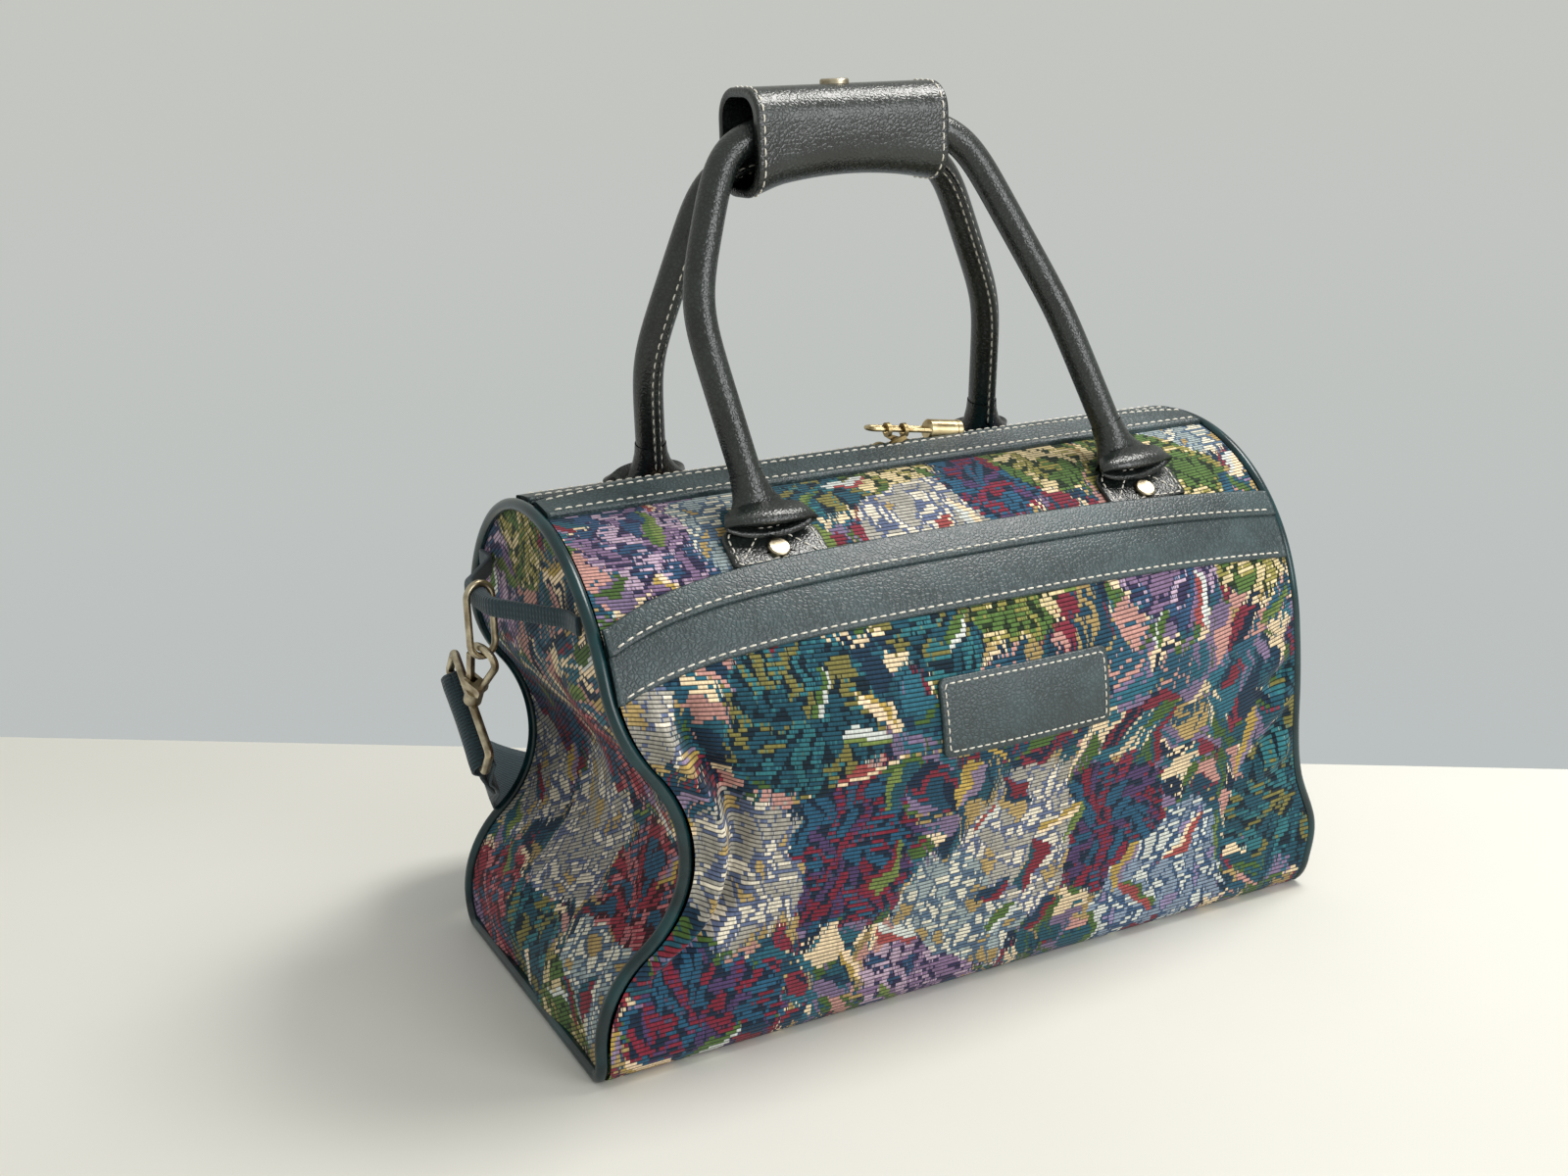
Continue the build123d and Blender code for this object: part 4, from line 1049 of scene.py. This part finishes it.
for which, (side, *_) in HANDLES.items():
    back = side > 0
    points, _ = handle_points(which)
    for end, foot, knee in (("left", points[0], points[1]), ("right", points[-1], points[-2])):
        low_s, high_s = (float(s_at_height(foot[0], z)) for z in (tab_low[which], tab_high))
        verts, faces, seam_line = tab_plate(foot[0], low_s, high_s, back)
        cuff_verts, cuff_faces = cuff(foot, unit(knee - foot), back)
        faces = faces + shifted(cuff_faces, len(verts))
        verts = np.concatenate([verts, cuff_verts])
        make(f"{which}_{end}_tab_leather", verts, faces, dark_leather, "leather", f"{which}_{end}_tab")
        sew(*section(*seam_line.T, tab_thick), TAB_SEAM, back)
        share = np.linspace(0, 1, 12)
        seam_low, seam_high = low_s + cross_foot, float(s_at_y(foot[0], foot_y)) - cross_top
        seam_s = seam_low + share * (seam_high - seam_low)
        for sign in (-1, 1):
            seam_x = foot[0] + sign * (cross_half - cross_close * share)
            sew(*section(seam_x, seam_s, tab_thick), TAB_SEAM, back)

# Hand wrap; its stations are shares of its half length
wrap_length, wrap_x = 96.0, -21.0
wrap_low, wrap_high = 360.2, 402.2
wrap_depth, wrap_wall = 34.0, 2.4
wrap_corner, wrap_inner_corner, wrap_proud = 12.0, 9.6, 1.6
wrap_press, mouth_droop, right_rise = 5.5, 1.6, 1.5
mouth_wider_share, middle_narrower_share = 0.08, 0.04
wrap_seam_inset = 3.0
# Stations near a mouth, with how far the outer face stands proud there
WRAP_MOUTH = ((1, 0.7), (0.995, 1.3), (0.985, wrap_proud))


def wrap_outline(grow, corner, count):
    """The wrap's section about its middle, before it is bent."""
    half = (wrap_depth / 2 + grow, (wrap_high - wrap_low) / 2 + grow)
    return rounded_box((0, 0), half, [corner] * 4, 12, count)


def wrap_ring(station, grow, corner, count=88):
    """A ring of the wrap, whose lower side is pressed up in the middle and whose left mouth opens."""
    y, z = wrap_outline(grow, corner, count).T
    low = smoothstep(4, -14, z)
    middle = 1 - station * station
    mouth = smoothstep(-0.6, -1.0, station)
    y = y * (1 + mouth_wider_share * mouth - middle_narrower_share * middle * low)
    z = z + low * (wrap_press * middle - mouth_droop * mouth + right_rise * (station + 1) / 2)
    x = np.full(count, wrap_x + station * wrap_length / 2)
    return np.column_stack([x, y, z + (wrap_low + wrap_high) / 2])


def wrap_mesh():
    stations = [(-share, grow) for share, grow in WRAP_MOUTH]
    stations += [(share, wrap_proud) for share in np.linspace(-0.96, 0.96, 24)]
    stations += WRAP_MOUTH[::-1]
    rings = [wrap_ring(station, grow, wrap_corner + grow) for station, grow in stations]
    rings += [wrap_ring(station, -wrap_wall, wrap_inner_corner) for station, _ in reversed(stations)]
    return np.concatenate(rings), flipped(grid_faces(len(rings), len(rings[0]), True, True))


make("hand_wrap_leather", *wrap_mesh(), dark_leather, "leather", "handle_wrap")
seam_ring = (wrap_proud, wrap_corner + wrap_proud, 160)
slope = np.gradient(closed_loop(wrap_outline(*seam_ring)), axis=0)
wrap_normals = unit(np.column_stack([np.zeros(len(slope)), slope[:, 1], -slope[:, 0]]))
for _, side in ENDS:
    station = side * (1 - 2 * wrap_seam_inset / wrap_length)
    sew(closed_loop(wrap_ring(station, *seam_ring)), wrap_normals)
make("bag_stitches", *stitch_mesh(), thread, "leather")

# Ring keepers: webbing bowed out from the end panels, rolled where the ring hangs
keeper_z, keeper_x = 196.0, 201.0
keeper_thick, keeper_tall, keeper_square = 1.25, 4.0, 0.35
rolled_thick, rolled_tall, rolled_round, rolled_width = 2.4, 0.6, 0.5, 15.0
keeper_seat = shoulder_half_length + keeper_thick
keeper_bend = 14.0
KEEPER_LINE = ((keeper_seat, 63), (keeper_seat, 50), (keeper_x, 16))


def keeper_mesh():
    """Verts, faces and distances of the left keeper."""
    count = 20
    corners = [(-x, -y, keeper_z) for x, y in KEEPER_LINE] + [(-x, y, keeper_z) for x, y in KEEPER_LINE[::-1]]
    path = even_path(round_corners(np.array(corners, float), [keeper_bend] * 4), 120)
    tangent = tangents(path)
    out_way = np.stack([-tangent[:, 1], tangent[:, 0], 0 * tangent[:, 0]], 1)
    turn = full_turn(count)
    rings, uv = [], []
    for place, out, run in zip(path, out_way, distances(path)):
        rolled = hump(place[1], 0, rolled_width)
        power = keeper_square + rolled_round * rolled
        across, up = (np.sign(wave) * np.abs(wave) ** power for wave in (np.cos(turn), np.sin(turn)))
        across = across * (keeper_thick + rolled_thick * rolled)
        up = up * (keeper_tall + rolled_tall * rolled)
        rings.append(place + np.outer(across, out) + np.outer(up, (0, 0, 1)))
        uv.append(np.column_stack([np.full(count, run), up + across]))
    return *tube(rings), np.concatenate(uv)


for end, side in ENDS:
    verts, faces, uv = keeper_mesh()
    if side > 0:
        verts, faces = verts * MIRROR_X, flipped(faces)
    make(f"{end}_keeper_webbing", verts, faces, webbing, "webbing", f"{end}_ring_keeper", uv=uv)

# Strap, placed as in the part's source
clip_tilt = radians(40.0)
clip_down = np.array([0, sin(clip_tilt), -cos(clip_tilt)])
clip_across = np.array([0, cos(clip_tilt), sin(clip_tilt)])
ring_bottom = np.array([0, 0, 169.6])
loop_outer_half, loop_wire = 30.0, 2.0
floor_gap = 0.5
fold_along, fold_radius = 54.3, 3.3
slide_drop = loop_outer_half * sin(clip_tilt) + loop_wire * cos(clip_tilt)
run_along = (ring_bottom[2] - slide_drop - floor_gap) / cos(clip_tilt)
slide_half_length = 9.5
strap_start = fold_along + fold_radius
strap_end_x = -slide_half_length - fold_radius
strap_half_width, strap_half_thick, strap_edge_thick = 25.0, 0.95, 0.55
strap_bend = 30.0
doubled_gap = 2.2
# Run, drop and sidestep of the left strap, which swings in below the clip and round the rear corner
STRAP_SHARES = (
    (0.048, 0.17, 0.16),
    (0.106, 0.357, 0.48),
    (0.122, 0.558, 0.88),
    (0.164, 0.745, 1.12),
    (0.28, 0.888, 0.88),
    (0.49, 0.96, 0.4),
    (0.735, 0.992, 0.12),
)
# Places on the right strap, down from the clip and then along the table
RIGHT_DROPS = (70, 90, 115, 140)
RIGHT_RUNS = (-140, -100, -60, -35)
# The folds round the loop's bar and the slide's bar, along the strap and out from it
LOOP_FOLD = (
    (9, -3.6), (4, -4.8), (0, -4.1), (-2.3, -2.3), (-3.3, 0),
    (-2.3, 2.3), (0, 4.0), (4, 4.4), (9, 3.4),
)
SLIDE_FOLD = (
    (-9, 2.4), (-3, 3.3), (0, 3.3), (2.4, 2.4), (3.3, 0),
    (2.4, -2.4), (0, -3.3), (-3, -3.3), (-9, -2.6), (-30, -2.2),
)


def strap_spot(x, along, sidestep=0.0):
    return ring_bottom + np.array([x, 0, 0]) + clip_down * along + clip_across * sidestep


def ribbon_mesh(path):
    """A webbing band along a path, with distances across and along it."""
    tangent = tangents(path)
    width_way = unit(clip_across - tangent * (tangent @ clip_across)[:, None])
    normal = np.cross(tangent, width_way)
    across = np.linspace(-strap_half_width, strap_half_width, 11)
    thick = np.where(np.abs(across) < strap_half_width - 1, strap_half_thick, strap_edge_thick)
    across, out = np.concatenate([across, across[::-1]]), np.concatenate([thick, -thick[::-1]])
    rings = path[:, None] + width_way[:, None] * across[:, None] + normal[:, None] * out[:, None]
    verts, faces = tube(rings)
    return verts, flipped(faces), np.stack(np.meshgrid(across, distances(path)), -1)


def folded_strap(spots):
    """The strap's line: a loose fold over the loop's bar, the course, and a fold over the slide's bar."""
    course = relax(even_path(smooth_path(spots, 240, 4), 240), 6)
    tangent = tangents(course)
    normal = unit(np.cross(tangent, clip_across))
    doubled = [course[i] - normal[i] * doubled_gap for i in range(36, 16, -4)]
    bar = strap_spot(spots[0][0], fold_along)
    fold = [bar + tangent[2] * along + normal[2] * out for along, out in LOOP_FOLD]
    far_bar = strap_spot(-slide_half_length, run_along)
    far_fold = [far_bar + tangent[-1] * along + normal[-1] * out for along, out in SLIDE_FOLD]
    return relax(even_path(np.concatenate([doubled, fold, course[20:-14], far_fold]), 330), 3)


def strap_piece(which, side):
    """One side of the strap, from its clip to the slide."""
    start_x = -keeper_x
    long, drop = strap_end_x - start_x, run_along - strap_start
    if side < 0:
        inner = [
            strap_spot(start_x + run * long, strap_start + down * drop, strap_half_width * aside)
            for run, down, aside in STRAP_SHARES
        ]
    else:
        inner = [strap_spot(start_x, along) for along in RIGHT_DROPS]
        for turn in np.linspace(0, pi / 2, 7):
            bend_x, bend_along = strap_bend * (1 - cos(turn)), strap_bend * (1 - sin(turn))
            inner.append(strap_spot(start_x + bend_x, run_along - bend_along))
        inner += [strap_spot(x, run_along) for x in RIGHT_RUNS]
    spots = [strap_spot(start_x, strap_start), *inner, strap_spot(strap_end_x, run_along)]
    verts, faces, uv = ribbon_mesh(folded_strap(np.array(spots)))
    if side > 0:
        verts, faces = verts * MIRROR_X, flipped(faces)
    name, node = f"{which}_strap_webbing", f"strap_{which}"
    mesh_piece = make(name, verts, faces, webbing, "webbing", node, uv=uv, body=None)
    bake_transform(mesh_piece)


for end, side in ENDS:
    strap_piece(end, side)

# CAD pieces that keep their shape
FINISHES = (
    (zip_metal, ("zip_teeth", "left_slider", "right_slider", "left_pull", "right_pull")),
    (zip_cloth, ("front_zip_tape", "rear_zip_tape")),
    (brass, ("padlock_body", "padlock_shackle")),
    (nickel, ("front_tab_rivets", "rear_tab_rivets", "wrap_snap_cap", "wrap_snap_socket", "strap_slide")),
    (nickel, [f"{end}_{piece}" for end, _ in ENDS for piece in ("ring", "hook", "gate", "strap_loop")]),
    (board, ("base_board",)),
)
for mat, nodes in FINISHES:
    for node in nodes:
        node_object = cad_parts[node]
        if not node_object.material_slots:
            node_object.data.materials.append(mat)
        for material_slot in node_object.material_slots:
            material_slot.material = mat

# Camera, fitted to the photograph's view
FOCAL = 1851.44
IMAGE_WIDTH, IMAGE_HEIGHT = 1600, 1200
SENSOR = 36.0
yaw, pitch, roll = 0.465, 0.289, -0.0314
eye_at = np.array([-420.12, -730.43, 419.35]) * MM
right = np.array([cos(yaw), -sin(yaw), 0])
forward = np.array([cos(pitch) * sin(yaw), cos(pitch) * cos(yaw), -sin(pitch)])
upward = np.cross(right, forward)
cam_x = cos(roll) * right + sin(roll) * upward
cam_y = -sin(roll) * right + cos(roll) * upward
camera_data = bpy.data.cameras.new("camera")
camera_data.sensor_width = SENSOR
camera_data.lens = FOCAL / IMAGE_WIDTH * SENSOR
camera_data.clip_end = 50.0
camera = place_object("camera", camera_data)
camera_rows = np.column_stack([cam_x, cam_y, -forward, eye_at]).tolist()
camera.matrix_world = Matrix([*camera_rows, [0, 0, 0, 1]])
bpy.context.scene.camera = camera

# Stage, in metres: a pale table whose far edge is seen at two picture points
EDGE_LEFT, EDGE_RIGHT = (0, 752), (1599, 785)
table_half_width, table_depth = 3.0, 4.0


def on_table(picture_x, picture_y):
    """Where a picture point meets the table."""
    across, down = (picture_x - IMAGE_WIDTH / 2) / FOCAL, (picture_y - IMAGE_HEIGHT / 2) / FOCAL
    ray = across * cam_x - down * cam_y + forward
    return eye_at - ray * (eye_at[2] / ray[2])


edge_left, edge_right = on_table(*EDGE_LEFT), on_table(*EDGE_RIGHT)
edge_way = unit(edge_right - edge_left)
near_way = np.array([edge_way[1], -edge_way[0], 0])
corners = [
    (edge_left + edge_right) / 2 + edge_way * (across * table_half_width) + near_way * (near * table_depth)
    for across, near in ((-1, 0), (-1, 1), (1, 1), (1, 0))
]
table_mesh = bpy.data.meshes.new("table")
table_mesh.from_pydata([tuple(corner) for corner in corners], [], [(0, 1, 2, 3)])
table_mesh.materials.append(plain_material("table_paint", "dedcd2", "e2e0d7", 0.8, 3.0, 0.0))
plane = place_object("table", table_mesh)


def area_light(name, at, target, size, power, colour):
    data = bpy.data.lights.new(name, "AREA")
    data.shape = "RECTANGLE"
    data.size, data.size_y = size
    data.energy = power
    data.color = colour
    lamp = place_object(name, data)
    lamp.location = at
    lamp.rotation_euler = (Vector(target) - Vector(at)).to_track_quat("-Z", "Y").to_euler()


area_light("key", (0.62, -0.1, 1.35), (0.0, 0, 0.1), (0.6, 0.5), 14.0, (1.0, 0.98, 0.95))
area_light("fill", (0.9, -2.2, 0.95), (0, 0, 0.25), (1.4, 1.2), 27.0, (0.97, 0.98, 1.0))

# World: an even room light, and a wall colour that is only seen, directly or in gloss
room_colour, room_strength = (0.86, 0.88, 0.88, 1), 0.66
sky = Nodes(bpy.data.worlds.new("world"))
bpy.context.scene.world = sky.owner
room = sky.tree.nodes["Background"]
sky.put(room.inputs["Color"], room_colour)
sky.put(room.inputs["Strength"], room_strength)
# The wall colour is darker towards the bottom and lighter higher up: painted shade on the backdrop.
_, _, way_up = sky.split(sky.value("ShaderNodeTexCoord", out="Generated"))
wall_shade = sky.ramp(sky.spread(way_up, -0.4, 0.1), [(0.0, "bac0c0"), (1.0, "c6c7c1")])
wall = sky.value("ShaderNodeBackground", inputs={"Color": wall_shade})
rays = sky.add("ShaderNodeLightPath").outputs
seen = Value(sky, rays["Is Camera Ray"])
for ray_kind in ("Is Glossy Ray", "Is Transmission Ray"):
    seen = sky.calc("MAXIMUM", seen, Value(sky, rays[ray_kind]))
shown = sky.value("ShaderNodeMixShader", inputs={0: seen, 1: Value(sky, room.outputs[0]), 2: wall})
sky.put(sky.tree.nodes["World Output"].inputs["Surface"], shown)
bpy.context.scene.view_settings.view_transform = "Standard"
